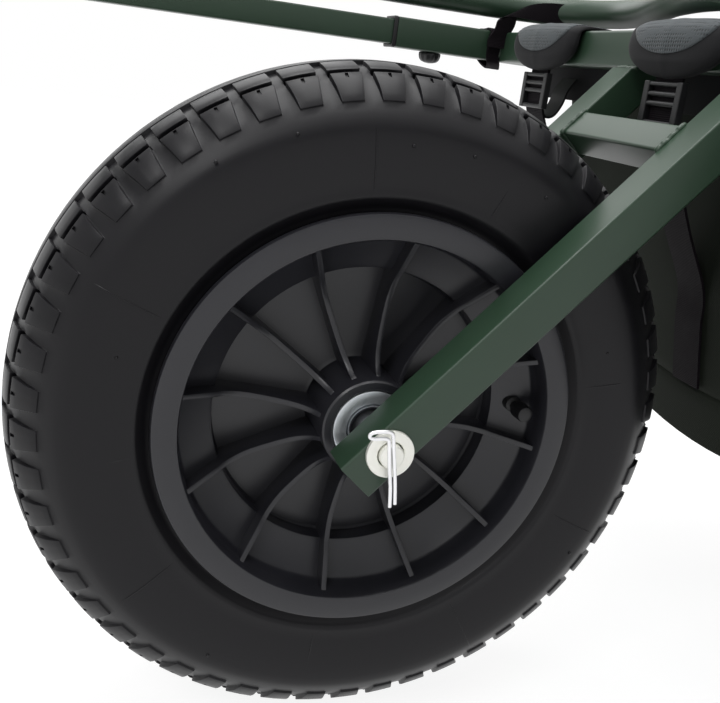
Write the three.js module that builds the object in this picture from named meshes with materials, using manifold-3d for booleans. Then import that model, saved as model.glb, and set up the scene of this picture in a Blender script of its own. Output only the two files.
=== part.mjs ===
// Single-wheel fishing barrow: a square-tube bed carried by one air-filled wheel in a welded fork,
// with a telescopic front, a folding luggage hoop, folding handles and legs, and a hanging bag.
// Millimetres. +X runs towards the person who pushes, +Y to that person's right, +Z up from the ground.
import * as THREE from 'three';
import { mergeVertices } from 'three/addons/utils/BufferGeometryUtils.js';
import Module from 'manifold-3d';

const wasm = await Module();
wasm.setup();

// Clearances
const gap = 0.3;            // air left between pieces that touch
const slideClearance = 0.5; // each side, between a telescopic tube and its sleeve
const swingClearance = 0.8; // between a turning piece and the bracket round it
const overrun = 3;          // how far a cutter passes through what it cuts
const weldTolerance = 1e-4; // corners closer than this are one corner

// Tubes
const tube = 22;            // side of the main square tube
const tubeWall = 1.5;
const tubeCorner = 2.4;     // outside corner radius
const innerTube = tube - 2 * (tubeWall + slideClearance);
const innerWall = 1.5;
const innerCorner = 2;
const braceTube = 18;       // cross tubes of the fork and the legs
const plate = 3;            // bracket plate thickness

// Wheel
const wheelRadius = 177.5;
const tyreWidth = 88.4;
const tyreWall = 5.5;
const treadWidth = 67.2;    // shoulder to shoulder
const treadRise = 9.4;      // how far the crown stands above the shoulder
const treadBlocks = 52;     // blocks round the tyre
const treadChannel = 3.4;   // width of the channel between two blocks
const treadChannelDepth = 4.5;
const treadSlant = 0.42;    // radians, channel off the axle's direction
const treadGroove = 3;      // width of the two grooves beside the centre row
const tyreHeight = 67.8;    // outside of the rim lip to the crown
const lipWidth = 13.3;      // outside of the rim lip to its inside edge
const rimWidth = 86.6;
const lipThickness = 5.8;
const lipRound = 1.6;       // edge rounding of the lip
const beadDepth = 8.4;      // bead seat below the outside of the lip
const barrelDepth = 17.3;   // depth of the straight wall inside the lip
const rimWall = 4;
const webThickness = 6;
const shoulderWidth = 32.7; // outside of the rim lip to the foot of the sloping shoulder
const webStepHeight = 14.5; // height of that foot above the middle plane
const finCount = 12;
const finThickness = 3;
const finTipInset = 5.8;    // fin's outer end inside the plane of the lip
const finSink = 1;          // how far a fin runs into the wall round it
const finPhase = THREE.MathUtils.degToRad(22.5);
const hubRadius = 25.5;
const hubFillet = 3;
const hubWidth = 81.8;
const bearingShoulder = 2;  // step in the hub's bore behind each bearing
const valveAngle = THREE.MathUtils.degToRad(5);
const valveInset = 10;      // foot of the shoulder to the middle of the valve stem
const valveRadius = 5;
const valveLength = 14;
const valveCapLength = 10;

// Axle line
const axleRadius = 6;
const bearingRadius = 16;
const bearingWidth = 10;
const capRadius = 20;
const capBore = 13.5;       // the cap leaves the inner race bare
const capThickness = 2;
const sleeveWall = 2.7;
const washerRadius = 12;
const washerThickness = 2.5;
const pinRadius = 1.6;
const pinDrop = 22;         // length of the split pin's legs below the axle centre
const pinRise = 11;         // height of its eye above the axle centre
const pinEye = 4.2;         // middle radius of the eye
const pinEyeTilt = 0.4;     // radians, eye off the upright
const axleHeadRadius = 9.6;
const axleTail = 9;         // axle beyond the washer

// Fork
const forkGap = 98.2;       // clear width between the arms
const forkAngle = THREE.MathUtils.degToRad(47.5);
const forkTail = 22;        // arm beyond the axle centre
const braceGap = 28.5;      // crown of the tyre to the middle of the brace, along the arm
const forkLap = 3.6;        // front rail behind the point where the arm's top face would meet its edge

// Bed
const bedGap = 16;          // crown of the tyre to the underside of the bed
const bedInner = 496;       // clear width between the side rails
const sleeveReach = 86;     // side rails ahead of the front rail
const crossPitch = 195;     // spacing of the cross rails
const railTail = 82;        // side rails behind the rear cross rail

// Telescopic front
const frontReach = 262;     // axle centre to the front face of the front bar
const innerOverlap = 250;   // inner tube held inside the side rail
const bushThickness = 3;
const bushSkirt = 0.6;      // how much wider the bush is than the sleeve
const knobInset = 32;       // lock knob behind the mouth of its sleeve
const knobRadius = 8.5;
const knobHeight = 8;
const knobDomeShare = 0.65; // of the height, above the knob's straight rim
const shankRadius = 3;

// Front hoop
const hoopRadius = 10;
const hoopWall = 1.4;
const hoopClear = 10;       // between the rails and the folded hoop
const hoopReach = 479;      // pivot to the middle of the rear curve
const hoopShoulder = 81;    // how far the curve's outermost point lies inside the leg
const hoopBow = 56;         // how far the middle of the cross part bends forward
const hoopTail = 12;        // leg beyond its pivot
const hoopPinRadius = 3;

// Handles
const handleAngle = THREE.MathUtils.degToRad(32);
const handleSleeve = 346;   // pivot to the mouth of the sleeve
const handleTail = 14;      // sleeve beyond its pivot
const handleTop = 595;      // pivot to the end of the grip
const handleInnerStart = 120;
const gripLength = 130;
const gripRadius = 16;
const gripFlange = 20;      // radius of the grip's end flanges
const gripFlangeWidth = 5;
const boltRadius = 4;
const boltHeadRadius = 7;
const boltHeadHeight = 5;
const bracketLength = 46;
const handleBracketInset = 25; // pivot ahead of the rear end of the side rail

// Legs
const legLean = THREE.MathUtils.degToRad(4);
const legPivotInset = 35;   // leg pivot ahead of the rear end of the side rail
const legSleeve = 250;      // pivot to the mouth of the sleeve
const legTail = 12;         // sleeve beyond its pivot
const legInnerStart = 90;
const legBraceReach = 165;
const legKnobInset = 24;
const legStopReach = 24;    // bracket below the leg's pivot
const legStopHeight = 11;   // plate across its lower end, which the leg leans on
const footLength = 84;
const footWidth = 52;
const footThickness = 7;
const footSocket = 27;      // side of the socket round the inner tube
const footSocketHeight = 26;

// Bag and its straps
const bagWall = 4;
const bagDepth = 215;
const bagTopWidth = 420;
const bagBottomWidth = 340;
const bagSlope = 32;        // how far the front wall leans back on its way down
const bagRearSlope = 40;
const bagTopInset = 7;      // bag wall behind the front rail
const bagCorner = 40;       // corner radius in plan
const bagSideRise = 40;     // how much higher the floor is at the sides
const padThickness = 8;
const padWidth = 82;
const padFrontDrop = 5.5;   // front end of a pad below the rail
const padRearDrop = 24;     // rear end of a pad below the rail, sewn to the bag
const padMiddleY = 7;
const padRightY = 165;
const webbingWidth = 25;
const webbingThickness = 2;
const webbingTurn = 31.5;   // below the bed, where the webbing turns back to the bag
const webbingMeet = 120;    // below the bed, where it meets the bag
const webbingRun = 62;      // length of webbing down the front of the bag
const buckleWidth = 36;
const buckleLength = 24;
const buckleThickness = 5.4;
const buckleDrop = 18.5;    // below the bed, on the upright part of the webbing
const rearStrapDrop = 30;
const rearStrapWidth = 50;

// Places that follow from the sizes above
const lipRadius = wheelRadius - tyreHeight;
const lipInner = lipRadius - lipWidth;
const webStepRadius = lipRadius - shoulderWidth;
const valveReach = webStepRadius + valveInset;
const bedRise = wheelRadius + bedGap; // axle centre to the underside of the bed
const braceReach = wheelRadius + braceGap;
const railBottom = wheelRadius + bedRise;
const railMid = railBottom + tube / 2;
const railTop = railBottom + tube;
const railY = bedInner / 2 + tube / 2;
const frontRailX = (bedRise - tube / 2 / Math.cos(forkAngle)) / Math.tan(forkAngle) + forkLap;
const rearRailX = frontRailX + 2 * crossPitch;
const sleeveX = frontRailX - sleeveReach;
const railEndX = rearRailX + railTail;
const hubFaceY = hubWidth / 2;
const armInnerY = forkGap / 2;
const armMidY = armInnerY + tube / 2;
const armOuterY = armInnerY + tube;
const sides = [['left', -1], ['right', 1]];

// Finishes
const finish = (color, roughness, metalness) => () =>
  new THREE.MeshStandardMaterial({ color, roughness, metalness });
const greenPaint = finish(0x3c4f3e, 0.42, 0.1);
const zinc = finish(0xc9cbc4, 0.35, 0.9);
const steel = finish(0x9a9c9e, 0.3, 0.9);
const blackPlastic = finish(0x1c1c1e, 0.5, 0);
const rimPlastic = finish(0x323236, 0.45, 0);
const tyreRubber = finish(0x232326, 0.7, 0);
const tubeRubber = finish(0x19191a, 0.75, 0);
const foam = finish(0x202022, 0.9, 0);
const oliveCloth = finish(0x39422f, 0.9, 0);
const padCloth = finish(0x4c5052, 0.9, 0);
const webbing = finish(0x1d1c22, 0.85, 0);

// Solids
function toSolid(geometry) {
  const bare = geometry.clone();
  bare.deleteAttribute('normal');
  bare.deleteAttribute('uv');
  const merged = mergeVertices(bare, weldTolerance);
  return new wasm.Manifold(new wasm.Mesh({
    numProp: 3,
    vertProperties: new Float32Array(merged.attributes.position.array),
    triVerts: new Uint32Array(merged.index.array),
  }));
}

function toGeometry(solid) {
  const mesh = solid.getMesh();
  const geometry = new THREE.BufferGeometry();
  geometry.setAttribute('position', new THREE.BufferAttribute(new Float32Array(mesh.vertProperties), 3));
  geometry.setIndex(new THREE.BufferAttribute(new Uint32Array(mesh.triVerts), 1));
  geometry.computeVertexNormals();
  return geometry;
}

function join(...pieces) {
  return toGeometry(pieces.map(toSolid).reduce((whole, piece) => whole.add(piece)));
}

function cut(body, ...cutters) {
  return toGeometry(cutters.map(toSolid).reduce((left, cutter) => left.subtract(cutter), toSolid(body)));
}

function place(group, name, geometry, material) {
  const mesh = new THREE.Mesh(geometry, material());
  mesh.name = name;
  group.add(mesh);
  return mesh;
}

// Two like pieces, one for each side
function pair(group, name, make, material) {
  sides.forEach(([side, sign]) => place(group, `${name}_${side}`, make(sign), material));
}

function box(length, width, height, x = 0, y = 0, z = 0) {
  return new THREE.BoxGeometry(length, width, height).translate(x, y, z);
}

// A rod of round section along Y, centred on the origin
function rod(radius, length, segments = 24) {
  return new THREE.CylinderGeometry(radius, radius, length, segments);
}

function ring(outer, bore, width, segments = 32) {
  const half = width / 2;
  const profile = [[bore, -half], [outer, -half], [outer, half], [bore, half], [bore, -half]];
  return new THREE.LatheGeometry(profile.map(([r, y]) => new THREE.Vector2(r, y)), segments);
}

function roundedSquare(side, corner) {
  const half = side / 2;
  const shape = new THREE.Shape();
  shape.moveTo(half, -half + corner);
  shape.lineTo(half, half - corner);
  shape.absarc(half - corner, half - corner, corner, 0, Math.PI / 2);
  shape.lineTo(-half + corner, half);
  shape.absarc(-half + corner, half - corner, corner, Math.PI / 2, Math.PI);
  shape.lineTo(-half, -half + corner);
  shape.absarc(-half + corner, -half + corner, corner, Math.PI, 1.5 * Math.PI);
  shape.lineTo(half - corner, -half);
  shape.absarc(half - corner, -half + corner, corner, 1.5 * Math.PI, 2 * Math.PI);
  return shape;
}

// Square tube along +Z from the origin, open at both ends
function squareTube(length, side, wall, corner) {
  const shape = roundedSquare(side, corner);
  const half = side / 2 - wall;
  const hole = new THREE.Path();
  hole.moveTo(-half, -half);
  hole.lineTo(-half, half);
  hole.lineTo(half, half);
  hole.lineTo(half, -half);
  hole.closePath();
  shape.holes.push(hole);
  return new THREE.ExtrudeGeometry(shape, { depth: length, bevelEnabled: false, curveSegments: 2 });
}

const alongX = (geometry) => geometry.rotateY(Math.PI / 2);
const alongY = (geometry) => geometry.rotateX(-Math.PI / 2);
const crossTube = (length, side, corner) =>
  alongY(squareTube(length, side, tubeWall, corner)).translate(0, -length / 2, 0);

// A flat strip of cloth or pad whose middle line runs through points in the XZ plane
function ribbon(points, thickness, width) {
  const along = points.map((p) => new THREE.Vector2(...p));
  const normalAt = (i) => {
    const before = along[Math.max(i - 1, 0)];
    const after = along[Math.min(i + 1, along.length - 1)];
    const into = along[i].clone().sub(before).normalize();
    const out = after.clone().sub(along[i]).normalize();
    const tangent = into.clone().add(out).normalize();
    const stretch = 1 / Math.max(tangent.dot(i > 0 ? into : out), 0.5);
    return new THREE.Vector2(-tangent.y, tangent.x).multiplyScalar(stretch * thickness / 2);
  };
  const upper = along.map((p, i) => p.clone().add(normalAt(i)));
  const lower = along.map((p, i) => p.clone().sub(normalAt(i))).reverse();
  const outline = new THREE.Shape([...upper, ...lower]);
  const strip = new THREE.ExtrudeGeometry(outline, { depth: width, bevelEnabled: false });
  return strip.rotateX(Math.PI / 2).translate(0, width / 2, 0);
}

// U-shaped bracket bent from plate: its base lies on z = 0 and its two cheeks stand up
function uBracket(length, height, inner) {
  const outer = inner + 2 * plate;
  return join(
    box(length, outer, plate, 0, 0, plate / 2),
    box(length, plate, height, 0, inner / 2 + plate / 2, height / 2),
    box(length, plate, height, 0, -inner / 2 - plate / 2, height / 2));
}

// Thumb screw with a domed head; its head points along -Y and its shank along +Y, from the face y = 0
function lockKnob(shankLength) {
  const dome = [0, 0.35, 0.7, 1].map((turnShare) => {
    const angle = turnShare * Math.PI / 2;
    const height = knobHeight * (1 - knobDomeShare + knobDomeShare * Math.cos(angle));
    return new THREE.Vector2(knobRadius * Math.sin(angle), -gap - height);
  });
  const profile = [...dome, new THREE.Vector2(knobRadius, -gap), new THREE.Vector2(shankRadius, -gap),
    new THREE.Vector2(shankRadius, shankLength), new THREE.Vector2(0, shankLength)];
  return new THREE.LatheGeometry(profile, 12);
}
const knobShank = tubeWall + slideClearance - gap;

// Pivot bolt along Y through a bracket of the given outer width, with a head and a nut
function pivotBolt(radius, headRadius, headHeight, across) {
  const headY = across / 2 + gap + headHeight / 2;
  return join(rod(radius, across + 2 * gap + headHeight, 12),
    rod(headRadius, headHeight, 6).translate(0, headY, 0),
    rod(headRadius, headHeight, 6).translate(0, -headY, 0));
}

const barrow = new THREE.Group();

// Frame of square steel tube, welded and painted
const frame = new THREE.Group();
barrow.add(frame);
for (const [side, sign] of sides) {
  const length = railEndX - sleeveX;
  const rail = alongX(squareTube(length, tube, tubeWall, tubeCorner));
  const hole = rod(shankRadius + gap, 2 * overrun, 10).rotateX(Math.PI / 2);
  const drilled = cut(rail, hole.translate(knobInset, 0, -tube / 2));
  place(frame, `side_rail_${side}`, drilled, greenPaint).position.set(sleeveX, sign * railY, railMid);
}
const crossLength = bedInner - 2 * gap;
[['front', frontRailX], ['middle', frontRailX + crossPitch], ['rear', rearRailX]].forEach(([name, x]) => {
  const rail = place(frame, `${name}_cross_rail`, crossTube(crossLength, tube, tubeCorner), greenPaint);
  rail.position.set(x + tube / 2, 0, railMid);
});

// Fork: two arms that rise from the axle to the underside of the front rail, and a brace between them
const armLength = forkTail + (bedRise + tube) / Math.sin(forkAngle);
for (const [side, sign] of sides) {
  const arm = squareTube(armLength, tube, tubeWall, tubeCorner).translate(0, 0, -forkTail);
  arm.rotateY(Math.PI / 2 - forkAngle);
  const aboveBed = box(2 * armLength, 2 * tube, tube * 4, 0, 0, bedRise - gap + tube * 2);
  const bore = rod(axleRadius + gap, tube + 2 * overrun, 20);
  const mesh = place(frame, `fork_arm_${side}`, cut(arm, aboveBed, bore), greenPaint);
  mesh.position.set(0, sign * armMidY, wheelRadius);
}
const braceLift = (tube - braceTube) / 2;
const brace = place(frame, 'fork_brace', crossTube(forkGap - 2 * gap, braceTube, innerCorner), greenPaint);
brace.rotation.y = -forkAngle;
brace.position.set(
  braceReach * Math.cos(forkAngle) - braceLift * Math.sin(forkAngle), 0,
  wheelRadius + braceReach * Math.sin(forkAngle) + braceLift * Math.cos(forkAngle));

// Axle: a headed pin held by a washer and a split pin, with a sleeve that carries the bearings
const washerOuterY = armOuterY + gap + washerThickness;
const axleEnd = washerOuterY + axleTail;
const headY = armOuterY + gap + boltHeadHeight / 2;
const pinY = -(washerOuterY + gap + pinRadius + axleTail / 4);
const axleLine = new THREE.Group();
axleLine.position.z = wheelRadius;
frame.add(axleLine);
const pinHole = rod(pinRadius + gap, 2 * (axleRadius + overrun), 12).rotateX(Math.PI / 2).translate(0, pinY, 0);
const shank = rod(axleRadius, axleEnd + headY, 20).translate(0, (headY - axleEnd) / 2, 0);
const head = rod(axleHeadRadius, boltHeadHeight, 6).translate(0, headY, 0);
place(axleLine, 'axle', cut(join(shank, head), pinHole), steel);
place(axleLine, 'axle_washer', ring(washerRadius, axleRadius + gap, washerThickness, 20), zinc)
  .position.y = -(armOuterY + gap + washerThickness / 2);
const sleeveRadius = axleRadius + gap + sleeveWall;
place(axleLine, 'axle_sleeve', ring(sleeveRadius, axleRadius + gap, forkGap - 2 * gap, 20), steel);
const pinLegs = rod(pinRadius, pinDrop + pinRise, 10).rotateX(Math.PI / 2);
pinLegs.translate(0, 0, (pinRise - pinDrop) / 2);
const eye = new THREE.TorusGeometry(pinEye, pinRadius * 0.7, 6, 14).translate(-pinEye, 0, 0);
eye.rotateX(Math.PI / 2 - pinEyeTilt).translate(0, 0, pinRise);
place(axleLine, 'split_pin', join(pinLegs, eye), zinc).position.y = pinY;

// Wheel: everything that turns on the axle
const wheel = new THREE.Group();
wheel.position.z = wheelRadius;
barrow.add(wheel);
const mirrored = (half) => [
  ...half, ...half.filter(([, y]) => y !== 0).reverse().map(([r, y]) => [r, -y])];
const lathe = (outline, segments) => {
  const points = [...outline, outline[0]].map(([r, y]) => new THREE.Vector2(r, y));
  return new THREE.LatheGeometry(points, segments);
};

const halfTyre = tyreWidth / 2;
const treadHalf = treadWidth / 2;
const beadRadius = lipRadius - beadDepth;
const beadGap = 2 * gap;
const beadY = rimWidth / 2 - lipThickness - gap;
const sidewall = wheelRadius - beadRadius;
const shoulderRadius = wheelRadius - treadRise;
const tyreOutline = mirrored([
  [wheelRadius, 0], [wheelRadius - 0.25 * treadRise, treadHalf * 0.58], [shoulderRadius, treadHalf],
  [shoulderRadius - sidewall * 0.16, halfTyre * 0.97], [beadRadius + sidewall * 0.5, halfTyre],
  [beadRadius + sidewall * 0.22, halfTyre * 0.935], [lipRadius + beadGap, beadY + lipThickness * 0.45],
  [lipRadius + beadGap, beadY], [beadRadius + beadGap, beadY],
  [beadRadius + beadGap, beadY - 2 * tyreWall], [beadRadius + sidewall * 0.5, halfTyre - tyreWall],
  [shoulderRadius - sidewall * 0.14, halfTyre * 0.93 - tyreWall],
  [wheelRadius - 2.2 * tyreWall, treadHalf * 0.5],
]);
const channels = [];
const channelLength = treadHalf * 0.62;
for (let i = 0; i < treadBlocks; i += 1) {
  for (const [, sign] of sides) {
    const turn = (i + (sign > 0 ? 0.5 : 0)) * 2 * Math.PI / treadBlocks;
    const channel = box(4 * treadChannelDepth, channelLength, treadChannel);
    channel.rotateZ(-sign * treadSlant);
    channel.translate(shoulderRadius + 1.4 * treadChannelDepth, sign * treadHalf * 0.98, 0);
    channels.push(channel.rotateY(turn));
  }
}
const grooves = [-1, 1].map((sign) =>
  ring(wheelRadius + overrun, wheelRadius - treadChannelDepth, treadGroove, treadBlocks)
    .translate(0, sign * treadHalf * 0.5, 0));
place(wheel, 'tyre', cut(lathe(tyreOutline, treadBlocks), ...grooves, ...channels), tyreRubber);

// The inner tube fills the tyre down to the rim's well; its valve stem comes out through the rim
const tubeInset = 3 * gap;
const tubeOutline = mirrored([
  [wheelRadius - 2.2 * tyreWall - tubeInset, 0], [shoulderRadius - 1.5 * tyreWall, treadHalf * 0.62],
  [beadRadius + sidewall * 0.58, halfTyre - 1.4 * tyreWall],
  [beadRadius + sidewall * 0.3, halfTyre - 2.1 * tyreWall],
  [beadRadius + tyreWall, beadY - 2.4 * tyreWall], [webStepRadius + 3 * rimWall, webStepHeight * 0.85],
  [webStepRadius + rimWall + tubeInset, webStepHeight * 0.55], [webStepRadius + rimWall + tubeInset, 0],
]);
const stem = rod(valveRadius - 2 * gap, valveLength + webStepHeight, 14);
stem.translate(valveReach, -(valveLength + webStepHeight) / 2, 0).rotateY(-valveAngle);
place(wheel, 'inner_tube', join(lathe(tubeOutline, 24), stem), tubeRubber);

// One-piece plastic rim: lip, bead seat and well outside, sloping shoulder, thin web and hub inside
const halfRim = rimWidth / 2;
const wallFoot = halfRim - barrelDepth;
const halfWeb = webThickness / 2;
const boreRadius = bearingRadius + gap;
const bearingOuterY = hubFaceY - capThickness - gap;
const bearingInnerY = bearingOuterY - bearingWidth;
const hubBore = boreRadius - bearingShoulder;
const rimOutline = mirrored([
  [webStepRadius + rimWall, 0], [webStepRadius + rimWall, webStepHeight * 0.6],
  [beadRadius, wallFoot - rimWall / 2],
  [beadRadius, halfRim - lipThickness], [lipRadius, halfRim - lipThickness], [lipRadius, halfRim - lipRound],
  [lipRadius - lipRound, halfRim], [lipInner + lipRound, halfRim], [lipInner, halfRim - lipRound],
  [lipInner, wallFoot],
  [webStepRadius, webStepHeight], [webStepRadius, halfWeb], [hubRadius + hubFillet, halfWeb],
  [hubRadius, halfWeb + hubFillet], [hubRadius, hubFaceY], [capRadius + gap, hubFaceY],
  [capRadius + gap, bearingOuterY], [boreRadius, bearingOuterY], [boreRadius, bearingInnerY],
  [hubBore, bearingInnerY], [hubBore, 0],
]);
const finEdge = [[hubRadius - finSink, 0.61], [lipInner * 0.41, 0.47], [lipInner * 0.6, 0.43],
  [lipInner * 0.75, 0.5], [lipInner * 0.84, 0.64]].map(([r, heightShare]) => [r, heightShare * hubFaceY]);
const finEnd = [[lipInner, halfRim - finTipInset], [lipInner + finSink, halfRim - finTipInset],
  [lipInner + finSink, wallFoot - rimWall * 0.7], [webStepRadius + rimWall / 2, webStepHeight * 0.75]];
const finShape = new THREE.Shape(mirrored([...finEdge, ...finEnd]).map(([r, y]) => new THREE.Vector2(r, y)));
const fins = [];
for (let i = 0; i < finCount; i += 1) {
  const fin = new THREE.ExtrudeGeometry(finShape, { depth: finThickness, bevelEnabled: false });
  fins.push(fin.translate(0, 0, -finThickness / 2).rotateY(-finPhase - i * 2 * Math.PI / finCount));
}
const valveHole = rod(valveRadius, rimWidth, 14).translate(valveReach, -rimWidth / 2, 0);
valveHole.rotateY(-valveAngle);
const rimBody = cut(join(lathe(rimOutline, 24), ...fins), valveHole);
place(wheel, 'rim', rimBody, rimPlastic);
const bearingY = bearingInnerY + gap + bearingWidth / 2;

// Each bearing is pressed into the hub with a zinc shield over its face
pair(wheel, 'hub_bearing', (sign) => {
  const body = ring(bearingRadius, sleeveRadius + gap, bearingWidth, 16);
  const shield = ring(capRadius, capBore, capThickness, 16);
  return join(body, shield.translate(0, (bearingWidth + capThickness) / 2, 0))
    .rotateX(sign > 0 ? 0 : Math.PI).translate(0, sign * bearingY, 0);
}, zinc);
place(wheel, 'valve_cap', rod(valveRadius - gap, valveCapLength, 14), blackPlastic).position.set(
  valveReach * Math.cos(valveAngle), -webStepHeight - valveLength - gap - valveCapLength / 2,
  valveReach * Math.sin(valveAngle));

// Telescopic front: two inner tubes and the bar across their ends
const front = new THREE.Group();
barrow.add(front);
const barRearX = -frontReach + tube;
const innerLength = sleeveX + innerOverlap - barRearX - gap;
for (const [side, sign] of sides) {
  const inner = alongX(squareTube(innerLength, innerTube, innerWall, innerCorner));
  place(front, `extension_tube_${side}`, inner, greenPaint).position.set(barRearX + gap, sign * railY, railMid);
  const knob = lockKnob(knobShank).rotateX(Math.PI / 2);
  place(barrow, `front_lock_knob_${side}`, knob, blackPlastic)
    .position.set(sleeveX + knobInset, sign * railY, railBottom);
}
pair(frame, 'sleeve_bush', (sign) => cut(
  box(bushThickness, tube + bushSkirt, tube + bushSkirt),
  box(bushThickness + 2 * overrun, innerTube + 2 * gap, innerTube + 2 * gap),
).translate(sleeveX - gap - bushThickness / 2, sign * railY, railMid), blackPlastic);
const barLength = bedInner + 2 * tube;
place(front, 'front_bar', crossTube(barLength, tube, tubeCorner), greenPaint)
  .position.set(-frontReach + tube / 2, 0, railMid);

// Front hoop: one bent round tube, hinged on the front bar and folded back over the bed
const hoopPivotX = -frontReach + tube / 2;
const hoopZ = railTop + hoopClear + hoopRadius;
const hoop = new THREE.Group();
hoop.position.set(hoopPivotX, 0, hoopZ);
barrow.add(hoop);
const hoopHalf = [[-hoopTail, railY], [0, railY], [hoopReach * 0.5, railY], [hoopReach * 0.8, railY],
  [hoopReach * 0.9, railY - hoopShoulder * 0.08], [hoopReach * 0.975, railY - hoopShoulder * 0.42],
  [hoopReach, railY - hoopShoulder], [hoopReach - hoopBow * 0.5, (railY - hoopShoulder) * 0.5]];
const hoopOtherHalf = hoopHalf.slice().reverse().map(([x, y]) => [x, -y]);
const hoopPoints = [...hoopHalf, [hoopReach - hoopBow, 0], ...hoopOtherHalf];
const hoopLine = hoopPoints.map(([x, y]) => new THREE.Vector3(x, y, 0));
function bentRod(radius, line) {
  const section = new THREE.Shape();
  section.absarc(0, 0, radius, 0, 2 * Math.PI);
  const extrudePath = new THREE.CatmullRomCurve3(line, false, 'centripetal');
  return new THREE.ExtrudeGeometry(section, { steps: 32, curveSegments: 4, bevelEnabled: false, extrudePath });
}
const beyondEnd = (sign) => new THREE.Vector3(-hoopTail - overrun, sign * railY, 0);
const hoopBore = bentRod(hoopRadius - hoopWall, [beyondEnd(1), ...hoopLine, beyondEnd(-1)]);
const hoopPinHoles = sides.map(([, sign]) =>
  rod(hoopPinRadius + gap, 3 * hoopRadius, 12).translate(0, sign * railY, 0));
place(hoop, 'front_hoop', cut(bentRod(hoopRadius, hoopLine), hoopBore, ...hoopPinHoles), greenPaint);
const earInner = 2 * (hoopRadius + swingClearance);
const earHeight = hoopClear + hoopRadius + 2 * hoopPinRadius + plate;
const earAcross = earInner + 2 * plate;
pair(front, 'hoop_bracket', (sign) => join(
  uBracket(tube, earHeight, earInner),
  rod(hoopPinRadius, earAcross + hoopPinRadius, 12).translate(0, 0, hoopClear + hoopRadius - gap),
).translate(hoopPivotX, sign * railY, railTop + gap), greenPaint);

// Handles: a sleeve hinged in a bracket on each side rail, and a grip tube that slides in it
const channelInner = tube + 2 * swingClearance;
const channelAcross = channelInner + 2 * plate;
const handleSwing = Math.hypot(handleTail, tube / 2);
const handlePivotX = railEndX - handleBracketInset;
const handlePivotZ = railTop + gap + plate + handleSwing + swingClearance;
const handleCheek = handlePivotZ - railTop - gap + 2.6 * boltRadius;
const stopX = handleSwing + swingClearance + plate / 2;
const stopEdge = stopX - plate / 2;
const stopTop = handlePivotZ - (tube / 2) / Math.cos(handleAngle) + stopEdge * Math.tan(handleAngle) - gap;
const stopHeight = stopTop - railTop - gap;
const bolt = () => pivotBolt(boltRadius, boltHeadRadius, boltHeadHeight, channelAcross);
const boltHole = (z) => rod(boltRadius + gap, 2 * channelAcross, 12).translate(0, 0, z);
pair(frame, 'handle_bracket', (sign) => cut(
  join(uBracket(bracketLength, handleCheek, channelInner),
    box(plate, channelAcross, stopHeight, stopX, 0, stopHeight / 2)),
  boltHole(handlePivotZ - railTop - gap),
).translate(handlePivotX, sign * railY, railTop + gap), greenPaint);
pair(frame, 'handle_bolt', (sign) => bolt().translate(handlePivotX, sign * railY, handlePivotZ), zinc);
for (const [side, sign] of sides) {
  const handle = new THREE.Group();
  handle.position.set(handlePivotX, sign * railY, handlePivotZ);
  handle.rotation.y = -handleAngle;
  barrow.add(handle);
  const sleeve = alongX(squareTube(handleSleeve + handleTail, tube, tubeWall, tubeCorner));
  sleeve.translate(-handleTail, 0, 0);
  const screwX = handleSleeve - knobInset;
  const sleeveCut = cut(sleeve, rod(boltRadius + gap, 2 * tube, 12),
    rod(shankRadius + gap, 2 * overrun, 10).translate(screwX, sign * tube / 2, 0));
  place(handle, `handle_sleeve_${side}`, sleeveCut, greenPaint);
  const knob = lockKnob(knobShank).rotateX(sign > 0 ? Math.PI : 0);
  place(handle, `handle_knob_${side}`, knob, blackPlastic).position.set(screwX, sign * tube / 2, 0);
  const innerEnd = handleTop - gripFlangeWidth - gap;
  const inner = alongX(squareTube(innerEnd - handleInnerStart, innerTube, innerWall, innerCorner));
  place(handle, `handle_tube_${side}`, inner, greenPaint).position.x = handleInnerStart;
  const gripOutline = [[0, 0], [gripFlange, 0], [gripFlange, gripFlangeWidth],
    [gripRadius, gripFlangeWidth * 2], [gripRadius, gripLength - gripFlangeWidth * 2],
    [gripFlange, gripLength - gripFlangeWidth], [gripFlange, gripLength], [0, gripLength]];
  const grip = new THREE.LatheGeometry(gripOutline.map(([r, y]) => new THREE.Vector2(r, y)), 16);
  grip.rotateZ(-Math.PI / 2);
  const socketLength = gripLength - gripFlangeWidth + overrun;
  const socket = box(socketLength, innerTube + 2 * gap, innerTube + 2 * gap, socketLength / 2 - overrun, 0, 0);
  place(handle, `grip_${side}`, cut(grip, socket), foam).position.x = handleTop - gripLength;
}

// Legs: a folding pair joined by a brace, each with a sliding foot
const legSwing = Math.hypot(legTail, tube / 2);
const legPivotX = railEndX - legPivotInset;
const legPivotZ = railBottom - gap - plate - legSwing - swingClearance;
const legs = new THREE.Group();
legs.position.set(legPivotX, 0, legPivotZ);
legs.rotation.y = legLean;
barrow.add(legs);
const legStopX = -tube / 2 / Math.cos(legLean) - legStopReach * Math.tan(legLean) - gap - plate / 2;
const legDepth = railBottom - gap - legPivotZ;
const legCheek = legDepth + legStopReach;
const legStop = box(plate, channelAcross, legStopHeight, legStopX, 0, legCheek - legStopHeight / 2);
pair(frame, 'leg_bracket', (sign) => cut(
  join(uBracket(bracketLength, legCheek, channelInner), legStop.clone()),
  boltHole(legDepth),
).rotateX(Math.PI).translate(legPivotX, sign * railY, railBottom - gap), greenPaint);
const rodAcross = 2 * railY + channelAcross;
place(frame, 'leg_pivot_rod', pivotBolt(boltRadius, boltHeadRadius, boltHeadHeight, rodAcross), zinc)
  .position.set(legPivotX, 0, legPivotZ);
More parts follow.
